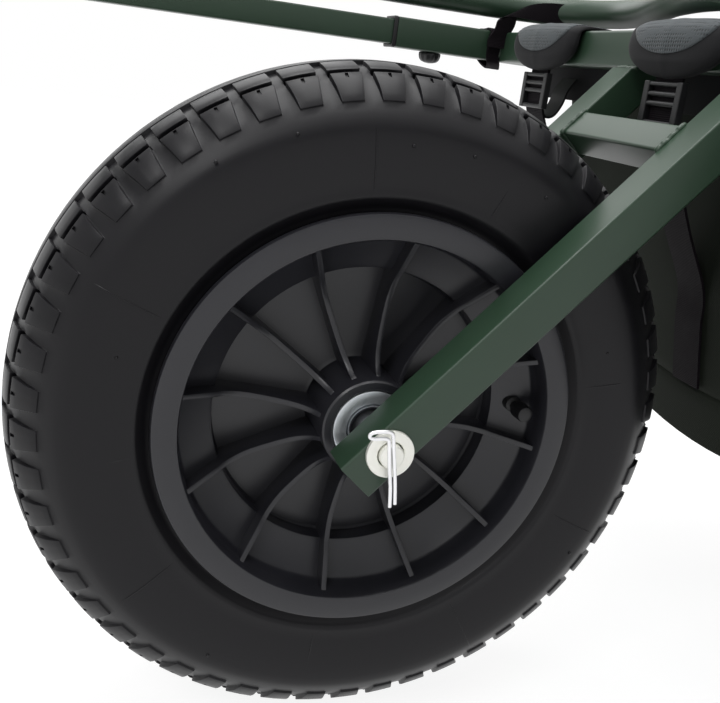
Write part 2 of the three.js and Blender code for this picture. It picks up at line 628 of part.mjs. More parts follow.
for (const [side, sign] of sides) {
  const screwZ = -legSleeve + legKnobInset;
  const sleeve = squareTube(legSleeve + legTail, tube, tubeWall, tubeCorner).translate(0, 0, -legSleeve);
  const sleeveCut = cut(sleeve, rod(boltRadius + gap, 2 * tube, 12),
    rod(shankRadius + gap, 2 * overrun, 10).translate(0, sign * tube / 2, screwZ));
  place(legs, `leg_${side}`, sleeveCut, greenPaint).position.y = sign * railY;
  const knob = lockKnob(knobShank).rotateX(sign > 0 ? Math.PI : 0);
  place(legs, `leg_knob_${side}`, knob, blackPlastic).position.set(0, sign * (railY + tube / 2), screwZ);
  const footDrop = legPivotZ / Math.cos(legLean);
  const innerFoot = footDrop - footThickness - gap - innerTube / 2 * Math.tan(legLean);
  const inner = squareTube(innerFoot - legInnerStart, innerTube, innerWall, innerCorner);
  place(legs, `leg_tube_${side}`, inner.translate(0, 0, -innerFoot), greenPaint).position.y = sign * railY;
  const sole = box(footLength, footWidth, footThickness, 0, 0, footThickness / 2);
  sole.rotateY(-legLean).translate(0, 0, -footDrop);
  const socketBody = box(footSocket, footSocket, footSocketHeight);
  socketBody.translate(0, 0, footThickness * 0.6 + footSocketHeight / 2 - footDrop);
  const socketBore = box(innerTube + 2 * gap, innerTube + 2 * gap, 2 * footSocketHeight);
  socketBore.translate(0, 0, footSocketHeight - innerFoot - gap);
  place(legs, `mud_foot_${side}`, cut(join(sole, socketBody), socketBore), blackPlastic)
    .position.y = sign * railY;
}
const legBrace = crossTube(crossLength, braceTube, innerCorner);
place(legs, 'leg_brace', legBrace, greenPaint).position.z = -legBraceReach;

// Bag: an open sack of coated cloth that hangs between the front and rear cross rails
const bagTopZ = railBottom - 2 * gap;
const bagFrontX = frontRailX + tube + bagTopInset;
const bagRearX = rearRailX - webbingThickness - 2 * gap;
const bagLevels = 4;
const bagRings = 2;
const bagPointCount = 28;
function bagForm(inset, extra) {
  const positions = [];
  const ringAt = (share, shrink, sag) => {
    const frontX = bagFrontX + bagSlope * share + inset;
    const rearX = bagRearX - bagRearSlope * share - inset;
    const halfY = THREE.MathUtils.lerp(bagTopWidth, bagBottomWidth, share) / 2 - inset;
    const midX = (frontX + rearX) / 2;
    const halfX = (rearX - frontX) / 2;
    const corner = bagCorner - inset;
    for (let i = 0; i < bagPointCount; i += 1) {
      const angle = (i + 0.5) * 2 * Math.PI / bagPointCount;
      const dx = THREE.MathUtils.clamp(halfX * 1.5 * Math.cos(angle), corner - halfX, halfX - corner);
      const dy = THREE.MathUtils.clamp(halfY * 1.5 * Math.sin(angle), corner - halfY, halfY - corner);
      const x = (dx + corner * Math.cos(angle)) * shrink;
      const y = (dy + corner * Math.sin(angle)) * shrink;
      const floorRise = bagSideRise * (y / halfY) ** 2;
      const z = bagTopZ - share * (bagDepth - floorRise - inset) - sag + (share === 0 ? extra : 0);
      positions.push(midX + x, y, z);
    }
  };
  for (let k = 0; k <= bagLevels; k += 1) ringAt(k / bagLevels, 1, 0);
  for (let k = 1; k <= bagRings; k += 1) ringAt(1, 1 - k / (bagRings + 1), 2 * bagWall * k / bagRings);
  const index = [];
  const rows = bagLevels + bagRings;
  for (let k = 0; k < rows; k += 1) {
    for (let i = 0; i < bagPointCount; i += 1) {
      const next = (i + 1) % bagPointCount;
      const [a, b, c, d] = [k * bagPointCount + i, k * bagPointCount + next,
        (k + 1) * bagPointCount + i, (k + 1) * bagPointCount + next];
      index.push(a, c, b, b, c, d);
    }
  }
  const top = positions.length / 3;
  positions.push((bagFrontX + bagRearX) / 2, 0, bagTopZ + extra);
  const bottomX = (bagFrontX + bagSlope + bagRearX - bagRearSlope) / 2;
  positions.push(bottomX, 0, bagTopZ - bagDepth + inset - 2 * bagWall);
  for (let i = 0; i < bagPointCount; i += 1) {
    const next = (i + 1) % bagPointCount;
    index.push(top, i, next, top + 1, rows * bagPointCount + next, rows * bagPointCount + i);
  }
  const geometry = new THREE.BufferGeometry();
  geometry.setAttribute('position', new THREE.Float32BufferAttribute(positions, 3));
  geometry.setIndex(index);
  return geometry;
}
place(frame, 'under_bag', cut(bagForm(0, 0), bagForm(bagWall, overrun)), oliveCloth);

// Hanger straps: a pad folded over the front rail, webbing down the front of the bag, and its buckle
const padMidX = frontRailX - gap - padThickness / 2;
const padRearX = frontRailX + tube + bagTopInset / 2 - gap;
const padTopZ = railTop + gap + padThickness / 2;
const padEndZ = railBottom - padFrontDrop;
const padRearEndZ = railBottom - padRearDrop;
const skimX = padRearX + bagTopInset / 2 - gap + 2 * tube;
const bagWallX = (drop) => bagFrontX + bagSlope * drop / bagDepth;
const webbingOff = webbingThickness / 2 + gap;
const webbingTop = [padMidX, padEndZ - gap];
const webbingTurnPoint = [padMidX, railBottom - webbingTurn];
const webbingMeetPoint = [bagWallX(webbingMeet) - webbingOff, bagTopZ - webbingMeet];
const webbingEnd = [bagWallX(webbingMeet + webbingRun) - webbingOff, bagTopZ - webbingMeet - webbingRun];
[['middle', padMiddleY], ['right', padRightY]].forEach(([side, y]) => {
  const padLine = [[padMidX, padEndZ], [padMidX, padTopZ], [padRearX, padTopZ], [padRearX, padRearEndZ]];
  const pad = ribbon(padLine, padThickness, padWidth);
  const rearSkim = box(4 * tube, 2 * padWidth, 4 * tube).translate(skimX, 0, railTop - 2 * tube);
  const clearRail = box(tube + 2 * gap, 2 * padWidth, 4 * tube);
  clearRail.translate(frontRailX + tube / 2, 0, railTop + gap - 2 * tube);
  place(frame, `hanger_pad_${side}`, cut(pad, rearSkim, clearRail), padCloth).position.y = y;
  const strapLine = [webbingTop, webbingTurnPoint, webbingMeetPoint, webbingEnd];
  const strap = ribbon(strapLine, webbingThickness, webbingWidth);
  place(frame, `hanger_webbing_${side}`, strap, webbing).position.y = y;
  const slot = box(2 * buckleLength, webbingWidth + 2 * gap, webbingThickness + 2 * gap);
  const buckle = cut(box(buckleLength, buckleWidth, buckleThickness), slot);
  const mesh = place(frame, `ladder_buckle_${side}`, buckle, blackPlastic);
  mesh.rotation.y = Math.PI / 2;
  mesh.position.set(padMidX, y, railBottom - buckleDrop);
});

// Rear strap: webbing folded over the rear rail, down to the bag's rear hem
const rearFaceX = rearRailX - gap - webbingThickness / 2;
const rearBackX = rearRailX + tube + gap + webbingThickness / 2;
const rearTopZ = railTop + gap + webbingThickness / 2;
const rearLine = [[rearFaceX, railBottom - gap - rearStrapDrop], [rearFaceX, rearTopZ], [rearBackX, rearTopZ],
  [rearBackX, railBottom - rearStrapDrop / 3]];
place(frame, 'rear_bag_strap', ribbon(rearLine, webbingThickness, rearStrapWidth), webbing);

// The origin is on the ground, at the middle of the whole barrow's box
barrow.updateMatrixWorld(true);
const extent = new THREE.Box3().setFromObject(barrow, true);
barrow.position.x = -(extent.min.x + extent.max.x) / 2;
barrow.updateMatrixWorld(true);

export default barrow;
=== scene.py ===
import math

import bmesh
import bpy
from mathutils import Matrix, Quaternion, Vector, noise


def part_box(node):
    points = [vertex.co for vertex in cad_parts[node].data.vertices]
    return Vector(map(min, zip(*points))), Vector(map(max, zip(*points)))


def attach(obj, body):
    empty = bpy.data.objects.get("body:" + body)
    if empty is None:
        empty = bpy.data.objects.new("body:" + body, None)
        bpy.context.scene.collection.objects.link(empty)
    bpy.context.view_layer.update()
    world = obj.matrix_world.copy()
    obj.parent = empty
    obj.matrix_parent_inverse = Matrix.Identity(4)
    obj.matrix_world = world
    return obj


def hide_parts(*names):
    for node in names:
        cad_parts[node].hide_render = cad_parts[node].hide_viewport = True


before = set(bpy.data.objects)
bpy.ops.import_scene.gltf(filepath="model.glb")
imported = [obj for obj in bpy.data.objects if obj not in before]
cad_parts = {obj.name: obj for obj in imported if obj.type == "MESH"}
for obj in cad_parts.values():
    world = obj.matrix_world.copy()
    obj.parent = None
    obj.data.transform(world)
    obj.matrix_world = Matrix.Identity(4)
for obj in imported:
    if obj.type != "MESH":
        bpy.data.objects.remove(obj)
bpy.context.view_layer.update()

# Bed rails: mild steel square tube, 22 mm with a 1.5 mm wall, sawn, MIG welded and powder coated in dark
# green. Everything is drawn in millimetres from the axle's middle, with x to the rear, y to the right and
# z up, and is moved to its place as it is made.
mm = 0.001
tyre_low, tyre_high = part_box("tyre")
axle_middle = (tyre_low + tyre_high) / 2
to_row = Matrix.Translation(axle_middle) @ Matrix.Scale(mm, 4)
sides = (("left", -1), ("right", 1))

rail_side = 22
rail_wall = 1.5
rail_corner = 1.7
rail_front = 80
rail_rear = 638
rail_y = 259
rail_bottom = 193.5
rail_middle = rail_bottom + rail_side / 2
rail_top = rail_bottom + rail_side
cross_half = 247.7
front_rail_x = 166
cross_pitch = 195
edge_round = 0.3


def linear(colour):
    """The linear colour of an sRGB hex value."""
    channels = [int(colour[i:i + 2], 16) / 255 for i in (1, 3, 5)]
    return [c / 12.92 if c <= 0.04045 else ((c + 0.055) / 1.055) ** 2.4 for c in channels] + [1]


def add(tree, kind, inputs=None, **settings):
    """Adds a shader node. An input is a value, or the node or socket that feeds it."""
    node = tree.nodes.new("ShaderNode" + kind)
    for name, value in settings.items():
        setattr(node, name, value)
    for name, value in (inputs or {}).items():
        if isinstance(value, bpy.types.Node):
            value = value.outputs[0]
        if isinstance(value, bpy.types.NodeSocket):
            tree.links.new(value, node.inputs[name])
        else:
            node.inputs[name].default_value = value
    return node


def finish(name, colours, patch, roughness, grain, depth, shader_values=None):
    """A material whose colour drifts between two shades over patches of the given size in millimetres,
    with a roughness that drifts with it and a grain of the given size and depth."""
    material = bpy.data.materials.new(name)
    material.use_nodes = True
    tree = material.node_tree
    shader = tree.nodes["Principled BSDF"]
    place = add(tree, "TexCoord").outputs["Object"]
    drift = add(tree, "TexNoise", {"Vector": place, "Scale": 1 / (patch * mm), "Detail": 4, "Roughness": 0.6})
    mix = add(tree, "Mix", {"Factor": drift, 6: linear(colours[0]), 7: linear(colours[1])}, data_type="RGBA")
    rough = add(tree, "MapRange", {"Value": drift, "To Min": roughness[0], "To Max": roughness[1]})
    speck = add(tree, "TexNoise", {"Vector": place, "Scale": 1 / (grain * mm), "Detail": 2})
    bump = add(tree, "Bump", {"Height": speck, "Strength": 1, "Distance": depth * mm})
    tree.links.new(mix.outputs[2], shader.inputs["Base Color"])
    tree.links.new(rough.outputs[0], shader.inputs["Roughness"])
    tree.links.new(bump.outputs[0], shader.inputs["Normal"])
    for socket, value in (shader_values or {}).items():
        shader.inputs[socket].default_value = value
    return material


def only(kind, geom):
    """What is of one kind, such as the new vertices, in what an operator gives back."""
    return [g for g in geom if isinstance(g, kind)]


def square_tube(start, end, side=rail_side, wall=rail_wall, corner=rail_corner, turn=0.0):
    """An open square tube between two points; turn rolls it about its own length."""
    start, end = Vector(start), Vector(end)
    bm = bmesh.new()
    bmesh.ops.create_grid(bm, x_segments=1, y_segments=1, size=side / 2)
    bmesh.ops.bevel(bm, geom=bm.verts[:], offset=corner, segments=5, profile=0.5, affect="VERTICES",
                    material=-1)
    wall_faces = bmesh.ops.inset_region(bm, faces=bm.faces[:], thickness=wall, use_boundary=True)["faces"]
    bmesh.ops.delete(bm, geom=[f for f in bm.faces if f not in wall_faces], context="FACES_ONLY")
    # The bore's corners are sharp
    bore = [v for v in bm.verts if max(abs(v.co.x), abs(v.co.y)) < (side - wall) / 2]
    for v in bore:
        v.co.x = math.copysign(side / 2 - wall, v.co.x)
        v.co.y = math.copysign(side / 2 - wall, v.co.y)
    bmesh.ops.remove_doubles(bm, verts=bore, dist=1e-3)
    out = bmesh.ops.extrude_face_region(bm, geom=bm.faces[:])["geom"]
    top = only(bmesh.types.BMVert, out)
    bmesh.ops.translate(bm, verts=top, vec=(0, 0, (end - start).length))
    bmesh.ops.rotate(bm, verts=bm.verts, matrix=Matrix.Rotation(math.pi / 2, 3, "Y"))
    bmesh.ops.rotate(bm, verts=bm.verts, matrix=Matrix.Rotation(turn, 3, "X"))
    along = (end - start).to_track_quat("X", "Z").to_matrix()
    bmesh.ops.rotate(bm, verts=bm.verts, matrix=along)
    bmesh.ops.translate(bm, verts=bm.verts, vec=start)
    bmesh.ops.recalc_face_normals(bm, faces=bm.faces)
    return bm


def piece(name, bm, material, body, nodes, smooth, rounding=0.0):
    """Moves a finished bmesh to its place, makes it an object and ties it to the CAD frame. It is shaded
    smooth up to an angle in degrees, and its sharper edges are rounded by a radius in millimetres."""
    bmesh.ops.transform(bm, matrix=to_row, verts=bm.verts)
    mesh = bpy.data.meshes.new(name)
    bm.to_mesh(mesh)
    bm.free()
    mesh.shade_smooth()
    mesh.set_sharp_from_angle(angle=math.radians(smooth))
    mesh.materials.append(material)
    made = bpy.data.objects.new(name, mesh)
    bpy.context.collection.objects.link(made)
    if rounding:
        bevel = made.modifiers.new("rounded edges", "BEVEL")
        bevel.width = rounding * mm
        bevel.segments = 2
        bevel.angle_limit = math.radians(smooth)
        bevel.harden_normals = True
    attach(made, body)
    if nodes:
        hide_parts(*nodes)
    return made


def joined(*parts):
    """Puts several bmeshes into the first."""
    first = parts[0]
    for other in parts[1:]:
        mesh = bpy.data.meshes.new("part")
        other.to_mesh(mesh)
        other.free()
        first.from_mesh(mesh)
        bpy.data.meshes.remove(mesh)
    return first


# Polyester powder coat, baked on: a deep green with a satin skin that goes pale where it mirrors the sky,
# and a faint orange peel about 3 mm across.
green_coat = finish("polyester powder coat, dark green", ("#25392A", "#2D4433"), 60, (0.36, 0.46), 2.6, 0.012,
                    {"Specular IOR Level": 0.38, "Coat Weight": 0.22, "Coat Roughness": 0.36})


def painted(name, bm, body, node, smooth=60, rounding=edge_round):
    """A piece in the powder coat that stands for one CAD node."""
    piece(name, bm, green_coat, body, [node], smooth, rounding)


for side, sign in sides:
    bm = square_tube((rail_front, sign * rail_y, rail_middle), (rail_rear, sign * rail_y, rail_middle))
    painted(f"side_rail_tube_{side}", bm, "frame", f"side_rail_{side}")
for i, place_name in enumerate(("front", "middle", "rear")):
    x = front_rail_x + i * cross_pitch + rail_side / 2
    bm = square_tube((x, -cross_half, rail_middle), (x, cross_half, rail_middle))
    painted(f"{place_name}_cross_tube", bm, "frame", f"{place_name}_cross_rail")

# Fork: two arms of the same tube that rise from the axle at 47.5 degrees and are sawn level under the front
# rail, with an 18 mm brace let in between them, flush with their upper faces.
arm_rise = math.radians(47.5)
arm_line = Vector((math.cos(arm_rise), 0, math.sin(arm_rise)))
arm_up = Vector((-math.sin(arm_rise), 0, math.cos(arm_rise)))
arm_tail = 22
arm_top = 292.3
arm_y = 60.1
arm_corner = 1.4
brace_side = 18
brace_corner = 1.6
brace_reach = 206
brace_half = 48.8
# Parts that meet stand this far apart, as in the CAD
fit_gap = 0.3
arm_cut = rail_bottom - fit_gap
for side, sign in sides:
    shift = Vector((0, sign * arm_y, 0))
    bm = square_tube(shift - arm_tail * arm_line, shift + arm_top * arm_line, corner=arm_corner)
    for v in bm.verts:
        if v.co.dot(arm_line) > 0:
            v.co += (arm_cut - v.co.z) / arm_line.z * arm_line
    painted(f"fork_arm_tube_{side}", bm, "frame", f"fork_arm_{side}")
brace_middle = brace_reach * arm_line + (rail_side - brace_side) / 2 * arm_up
half_width = Vector((0, brace_half, 0))
bm = square_tube(brace_middle - half_width, brace_middle + half_width, side=brace_side, corner=brace_corner,
                 turn=-arm_rise)
painted("fork_brace_tube", bm, "frame", "fork_brace")

# Weld beads: MIG runs left as laid and painted over. Each is a row of overlapping puddles that follows the
# joint, a little uneven.
arm_bead = 2.0
brace_bead = 1.7
rail_bead = 1.6
bead_inset = 2
bead_unevenness = 0.25
puddle_pitch = 2.2
puddle_points = 4
puddle_ripple = 0.07


def sweep(points, radii, segments):
    """A round bar whose middle line runs through the points, with a radius at each."""
    line = [Vector(p) for p in points]
    bm = bmesh.new()
    bmesh.ops.create_circle(bm, segments=segments, radius=1, cap_ends=True)
    verts, edges = bm.verts[:], bm.edges[:]
    old, turn, before = Matrix.Identity(4), Quaternion(), Vector((0, 0, 1))
    for i, point in enumerate(line):
        tangent = line[min(i + 1, len(line) - 1)] - line[max(i - 1, 0)]
        turn = before.rotation_difference(tangent) @ turn
        before = tangent
        new = Matrix.LocRotScale(point, turn, Vector((radii[i],) * 3))
        if i:
            out = bmesh.ops.extrude_edge_only(bm, edges=edges)["geom"]
            verts = only(bmesh.types.BMVert, out)
            edges = only(bmesh.types.BMEdge, out)
        bmesh.ops.transform(bm, matrix=new @ old.inverted(), verts=verts)
        old = new
    bmesh.ops.contextual_create(bm, geom=edges)
    bmesh.ops.recalc_face_normals(bm, faces=bm.faces)
    return bm


def resampled(points, step):
    """The same polyline with points every step along it."""
    line = [Vector(p) for p in points]
    out = [line[0]]
    for a, b in zip(line, line[1:]):
        count = max(1, round((b - a).length / step))
        out += [a.lerp(b, (i + 1) / count) for i in range(count)]
    return out


def weld(points, radius):
    """A weld bead along a polyline, thin where it starts and stops."""
    line = resampled(points, puddle_pitch / puddle_points)
    radii = []
    for i, point in enumerate(line):
        ripple = 1 - puddle_ripple * (1 - abs(math.cos(math.pi * i / puddle_points)))
        uneven = 1 + bead_unevenness * noise.noise(point * 0.35)
        end = min(1, 0.35 + 0.3 * min(i, len(line) - 1 - i))
        radii.append(radius * ripple * uneven * end)
        line[i] = point + noise.noise_vector(point * 0.3) * bead_unevenness * radius
    return sweep(line, radii, 10)


# A fixed seed, so that every run lays the same beads
noise.seed_set(5)
beads = []
for sign in (-1, 1):
    joint = brace_middle + Vector((0, sign * (brace_half + fit_gap), 0))
    corners = [(-1, -1), (-1, 1), (1, 1), (1, -1)]
    beads.append(weld([joint + brace_side / 2 * (a * arm_line + b * arm_up) for a, b in corners], brace_bead))
    inner_y = sign * (arm_y - rail_side / 2)
    outer_y = sign * (arm_y + rail_side / 2)
    for x in (front_rail_x, front_rail_x + rail_side):
        beads.append(weld([(x, inner_y, arm_cut), (x, outer_y, arm_cut)], arm_bead))
    y = sign * cross_half
    for i in range(3):
        for x in (front_rail_x + i * cross_pitch, front_rail_x + i * cross_pitch + rail_side):
            beads.append(weld([(x, y, rail_bottom + bead_inset), (x, y, rail_top - bead_inset)], rail_bead))
piece("weld_beads", joined(*beads), green_coat, "frame", (), 60)

# Telescopic front: two 18 mm inner tubes that slide in the side rails, and the bar welded across their ends.
# A moulded bush closes the mouth of each rail, and a thumb screw under the rail locks the slide.
inner_side = 18
inner_corner = 1.5
bar_front = -262
bar_x = bar_front + rail_side / 2
bar_half = rail_y + rail_side / 2
inner_end = 329.7
bush_length = 3
bush_side = 22.6
bush_wall = 2
bush_corner = 1.8
bush_round = 0.5
for side, sign in sides:
    start = (bar_front + rail_side + fit_gap, sign * rail_y, rail_middle)
    end = (inner_end, sign * rail_y, rail_middle)
    bm = square_tube(start, end, side=inner_side, corner=inner_corner)
    painted(f"extension_inner_tube_{side}", bm, "front_extension", f"extension_tube_{side}")
bm = square_tube((bar_x, -bar_half, rail_middle), (bar_x, bar_half, rail_middle))
painted("front_bar_tube", bm, "front_extension", "front_bar")

# Polypropylene, injection moulded: near black, a soft even sheen and a fine spark-eroded grain.
moulded_black = finish("polypropylene, moulded black", ("#141416", "#1A1A1C"), 25, (0.38, 0.5), 0.5, 0.006,
                       {"Specular IOR Level": 0.4})
for side, sign in sides:
    end = Vector((rail_front - fit_gap, sign * rail_y, rail_middle))
    start = end - Vector((bush_length, 0, 0))
    bm = square_tube(start, end, side=bush_side, wall=bush_wall, corner=bush_corner)
    piece(f"mouth_bush_{side}", bm, moulded_black, "frame", [f"sleeve_bush_{side}"], 60,
          bush_round)


def turned(profile, steps, closed=True):
    """A shape turned about the Y axis from a profile of (radius, y) points. A closed profile is the section
    of a ring, and an open one starts and ends on the axis."""
    bm = bmesh.new()
    line = [bm.verts.new((r, y, 0)) for r, y in profile]
    ends = line[1:] + line[:1] if closed else line[1:]
    edges = [bm.edges.new(pair) for pair in zip(line, ends)]
    bmesh.ops.spin(bm, geom=line + edges, axis=(0, 1, 0), cent=(0, 0, 0), angle=2 * math.pi, steps=steps,
                   use_merge=True)
    bmesh.ops.remove_doubles(bm, verts=bm.verts, dist=1e-4)
    bmesh.ops.recalc_face_normals(bm, faces=bm.faces)
    return bm


# Thumb screws: a fluted, domed polypropylene head moulded round a steel shank. One sits under each front
# rail, and one on the outer side of each handle and leg.
knob_radius = 8.5
knob_height = 8
flutes = 10
flute_depth = 0.045
flute_start = 5
front_screw_x = rail_front + 32
# Its radius at each height over the tube, from the top of the dome to the shank
knob_profile = [(0, fit_gap + knob_height), (3.4, 7.9), (6, 7.1), (7.6, 5.6), (8.2, 3.9), (knob_radius, 2.8),
                (knob_radius, 0.9), (7.9, fit_gap), (3, fit_gap), (3, -1.4), (0, -1.4)]


def reach_of(co):
    """How far a point is from the Y axis."""
    return math.hypot(co.x, co.z)


def thumb_screw(name, foot, outward, body, node):
    """A knob that stands on a tube at the point foot and points outward."""
    bm = turned([(r, -y) for r, y in knob_profile], 80, closed=False)
    for v in bm.verts:
        if reach_of(v.co) > flute_start:
            dent = 1 - flute_depth * (1 + math.cos(flutes * math.atan2(v.co.z, v.co.x)))
            v.co.x *= dent
            v.co.z *= dent
    turn = Vector((0, -1, 0)).rotation_difference(Vector(outward)).to_matrix()
    bmesh.ops.rotate(bm, verts=bm.verts, matrix=turn)
    bmesh.ops.translate(bm, verts=bm.verts, vec=foot)
    piece(name, bm, moulded_black, body, [node], 50)


for side, sign in sides:
    thumb_screw(f"front_thumb_screw_{side}", (front_screw_x, sign * rail_y, rail_bottom), (0, 0, -1),
                f"front_knob_{side}", f"front_lock_knob_{side}")

# Luggage hoop: 20 mm round tube bent on a former, with a wall of 1.4 mm. It hinges on brackets on the front
# bar and lies folded back over the bed.
hoop_radius = 10
hoop_wall = 1.4
hoop_bore = 24
hoop_z = rail_top + 20
# Its middle line: how far each point lies behind the front bar, and how far to the side
hoop_half = [(-12, 259), (0, 259), (120, 259), (239.5, 259), (330, 259), (383, 258.6), (413, 255.6),
             (431, 251), (451, 241), (467, 223), (476, 201), (479, 178), (474, 150), (464, 120), (449, 84),
             (434, 44)]
hoop_points = hoop_half + [(426, 0)] + [(x, -y) for x, y in reversed(hoop_half)]


def smooth_line(points, count):
    """Catmull-Rom curve through the points, with count steps between each two."""
    line = [Vector(p) for p in points]
    line = [2 * line[0] - line[1]] + line + [2 * line[-1] - line[-2]]
    out = []
    for a, b, c, d in zip(line, line[1:], line[2:], line[3:]):
        for i in range(count):
            t = i / count
            out.append(0.5 * (2 * b + (c - a) * t + (2 * a - 5 * b + 4 * c - d) * t ** 2
                              + (3 * b - a - 3 * c + d) * t ** 3))
    return out + [line[-2]]


hoop_line = smooth_line([(bar_x + x, y, hoop_z) for x, y in hoop_points], 5)
bm = sweep(hoop_line, [hoop_radius] * len(hoop_line), 40)
caps = [f for f in bm.faces if len(f.verts) > 4]
bmesh.ops.inset_individual(bm, faces=caps, thickness=hoop_wall)
out = bmesh.ops.extrude_discrete_faces(bm, faces=caps)["faces"]
for face in out:
    bmesh.ops.translate(bm, verts=face.verts, vec=(hoop_bore, 0, 0))
painted("luggage_hoop_tube", bm, "hoop", "front_hoop", 50, 0)


def from_cad(node):
    """A copy of a CAD node's mesh, merged, in millimetres from the axle."""
    bm = bmesh.new()
    bm.from_mesh(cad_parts[node].data)
    bmesh.ops.transform(bm, matrix=to_row.inverted(), verts=bm.verts)
    bmesh.ops.remove_doubles(bm, verts=bm.verts, dist=1e-3)
    bmesh.ops.dissolve_limit(bm, angle_limit=math.radians(1), verts=bm.verts, edges=bm.edges)
    return bm


# Pressed brackets: 3 mm steel bent to a channel, drilled and painted with the frame. They carry the hoop, the
# handles and the legs.
pressing_round = 0.5
for side, sign in sides:
    painted(f"hoop_bracket_pressing_{side}", from_cad(f"hoop_bracket_{side}"), "front_extension",
            f"hoop_bracket_{side}", 35, pressing_round)
    for kind in ("handle", "leg"):
        painted(f"{kind}_bracket_pressing_{side}", from_cad(f"{kind}_bracket_{side}"), "frame",
                f"{kind}_bracket_{side}", 35, pressing_round)

# Bolts and the legs' long pivot rod: cold-headed steel with a bright zinc plate. The plate gives the eye a
# pale blue-grey metal, slightly cloudy.
bright_zinc = finish("bright zinc plate", ("#BCC1C6", "#DADEE2"), 6, (0.3, 0.5), 0.7, 0.01,
                     {"Metallic": 0.85})
bolt_round = 0.4
for side, sign in sides:
    piece(f"handle_pivot_bolt_{side}", from_cad(f"handle_bolt_{side}"), bright_zinc, "frame",
          [f"handle_bolt_{side}"], 35, bolt_round)
piece("leg_pivot_bolt", from_cad("leg_pivot_rod"), bright_zinc, "frame", ["leg_pivot_rod"], 35,
      bolt_round)

# Handles: a sleeve of the main tube hinged in each rear bracket, an 18 mm tube that slides in it, and a
# foam grip with an end flange.
handle_pivot = Vector((613, 0, 237.4))
handle_rise = math.radians(32)
handle_line = Vector((math.cos(handle_rise), 0, math.sin(handle_rise)))
# Where the sleeve and the tube start and end, and where the screw stands, along the handle from its pivot
handle_sleeve = (-14, 346)
handle_tube = (120, 589.7)
handle_screw = 314
# The grip's radius along the handle: a flange, eight rings and the end flange
grip_rings = 8
ring_first = 478
ring_pitch = 13
grip_profile = [(0, 465), (19, 465), (20, 466), (20, 469), (18.6, 470.6), (16.6, 473)]
for i in range(grip_rings):
    y = ring_first + i * ring_pitch
    grip_profile += [(16, y), (16.3, y + 2), (16.3, y + 8), (16, y + 10), (15.3, y + 11.5)]
grip_profile += [(16, ring_first + grip_rings * ring_pitch), (16.6, 587), (18.6, 589.4), (20, 591), (20, 594),
                 (19, 595), (0, 595)]
# EVA foam: matte black with open pores about half a millimetre wide.
eva_foam = finish("EVA foam", ("#1A1A1C", "#242427"), 12, (0.82, 0.95), 0.6, 0.12)
for side, sign in sides:
    pivot = handle_pivot + Vector((0, sign * rail_y, 0))
    bm = square_tube(pivot + handle_sleeve[0] * handle_line, pivot + handle_sleeve[1] * handle_line)
    painted(f"handle_outer_tube_{side}", bm, f"handle_{side}", f"handle_sleeve_{side}")
    bm = square_tube(pivot + handle_tube[0] * handle_line, pivot + handle_tube[1] * handle_line,
                     side=inner_side, corner=inner_corner)
    painted(f"handle_inner_tube_{side}", bm, f"grip_slide_{side}", f"handle_tube_{side}")
    foot = pivot + handle_screw * handle_line + Vector((0, sign * rail_side / 2, 0))
    thumb_screw(f"handle_thumb_screw_{side}", foot, (0, sign, 0), f"handle_screw_{side}",
                f"handle_knob_{side}")
    bm = turned(grip_profile, 48, closed=False)
    turn = Vector((0, 1, 0)).rotation_difference(handle_line).to_matrix()
    bmesh.ops.rotate(bm, verts=bm.verts, matrix=turn)
    bmesh.ops.translate(bm, verts=bm.verts, vec=pivot)
    piece(f"foam_grip_{side}", bm, eva_foam, f"grip_slide_{side}", [f"grip_{side}"], 50)

# Legs: a folding pair of sleeves on one pivot rod, joined by a brace, each with an inner tube that slides out
# and a moulded mud foot.
leg_pivot = Vector((603, 0, 173.12))
leg_lean = math.radians(4)
leg_down = Vector((-math.sin(leg_lean), 0, -math.cos(leg_lean)))
# Where the sleeve and the tube start and end, and where the screw and the brace are, down from the pivot
leg_sleeve = (-12, 250)
leg_tube = (90, 343.5)
leg_screw = 226
leg_brace = 165
foot_round = 1.2
for side, sign in sides:
    pivot = leg_pivot + Vector((0, sign * rail_y, 0))
    bm = square_tube(pivot + leg_sleeve[0] * leg_down, pivot + leg_sleeve[1] * leg_down)
    painted(f"leg_outer_tube_{side}", bm, "legs", f"leg_{side}")
    bm = square_tube(pivot + leg_tube[0] * leg_down, pivot + leg_tube[1] * leg_down, side=inner_side,
                     corner=inner_corner)
    painted(f"leg_inner_tube_{side}", bm, f"foot_slide_{side}", f"leg_tube_{side}")
    foot = pivot + leg_screw * leg_down + Vector((0, sign * rail_side / 2, 0))
    thumb_screw(f"leg_thumb_screw_{side}", foot, (0, sign, 0), f"leg_screw_{side}", f"leg_knob_{side}")
    piece(f"moulded_mud_foot_{side}", from_cad(f"mud_foot_{side}"), moulded_black, f"foot_slide_{side}",
          [f"mud_foot_{side}"], 35, foot_round)
brace_at = leg_pivot + leg_brace * leg_down
half_width = Vector((0, cross_half, 0))
bm = square_tube(brace_at - half_width, brace_at + half_width, side=brace_side, corner=brace_corner,
                 turn=leg_lean)
painted("leg_brace_tube", bm, "legs", "leg_brace")

# Axle: a headed steel pin through both arms, kept by a washer and a split pin. A spacer sleeve carries the
# bearings between the arms.
arm_outer = arm_y + rail_side / 2
washer_thickness = 2.5
washer_back = arm_outer + fit_gap
washer_face = washer_back + washer_thickness
axle_end = washer_face + 3.4
head_radius = 9.6
head_height = 5
head_round = 0.6
# Turned mild steel: grey, faintly mottled by the tool's marks and a thin film of oil.
turned_steel = finish("turned mild steel", ("#8D9092", "#A5A7A8"), 14, (0.3, 0.42), 0.4, 0.008,
                      {"Metallic": 1})
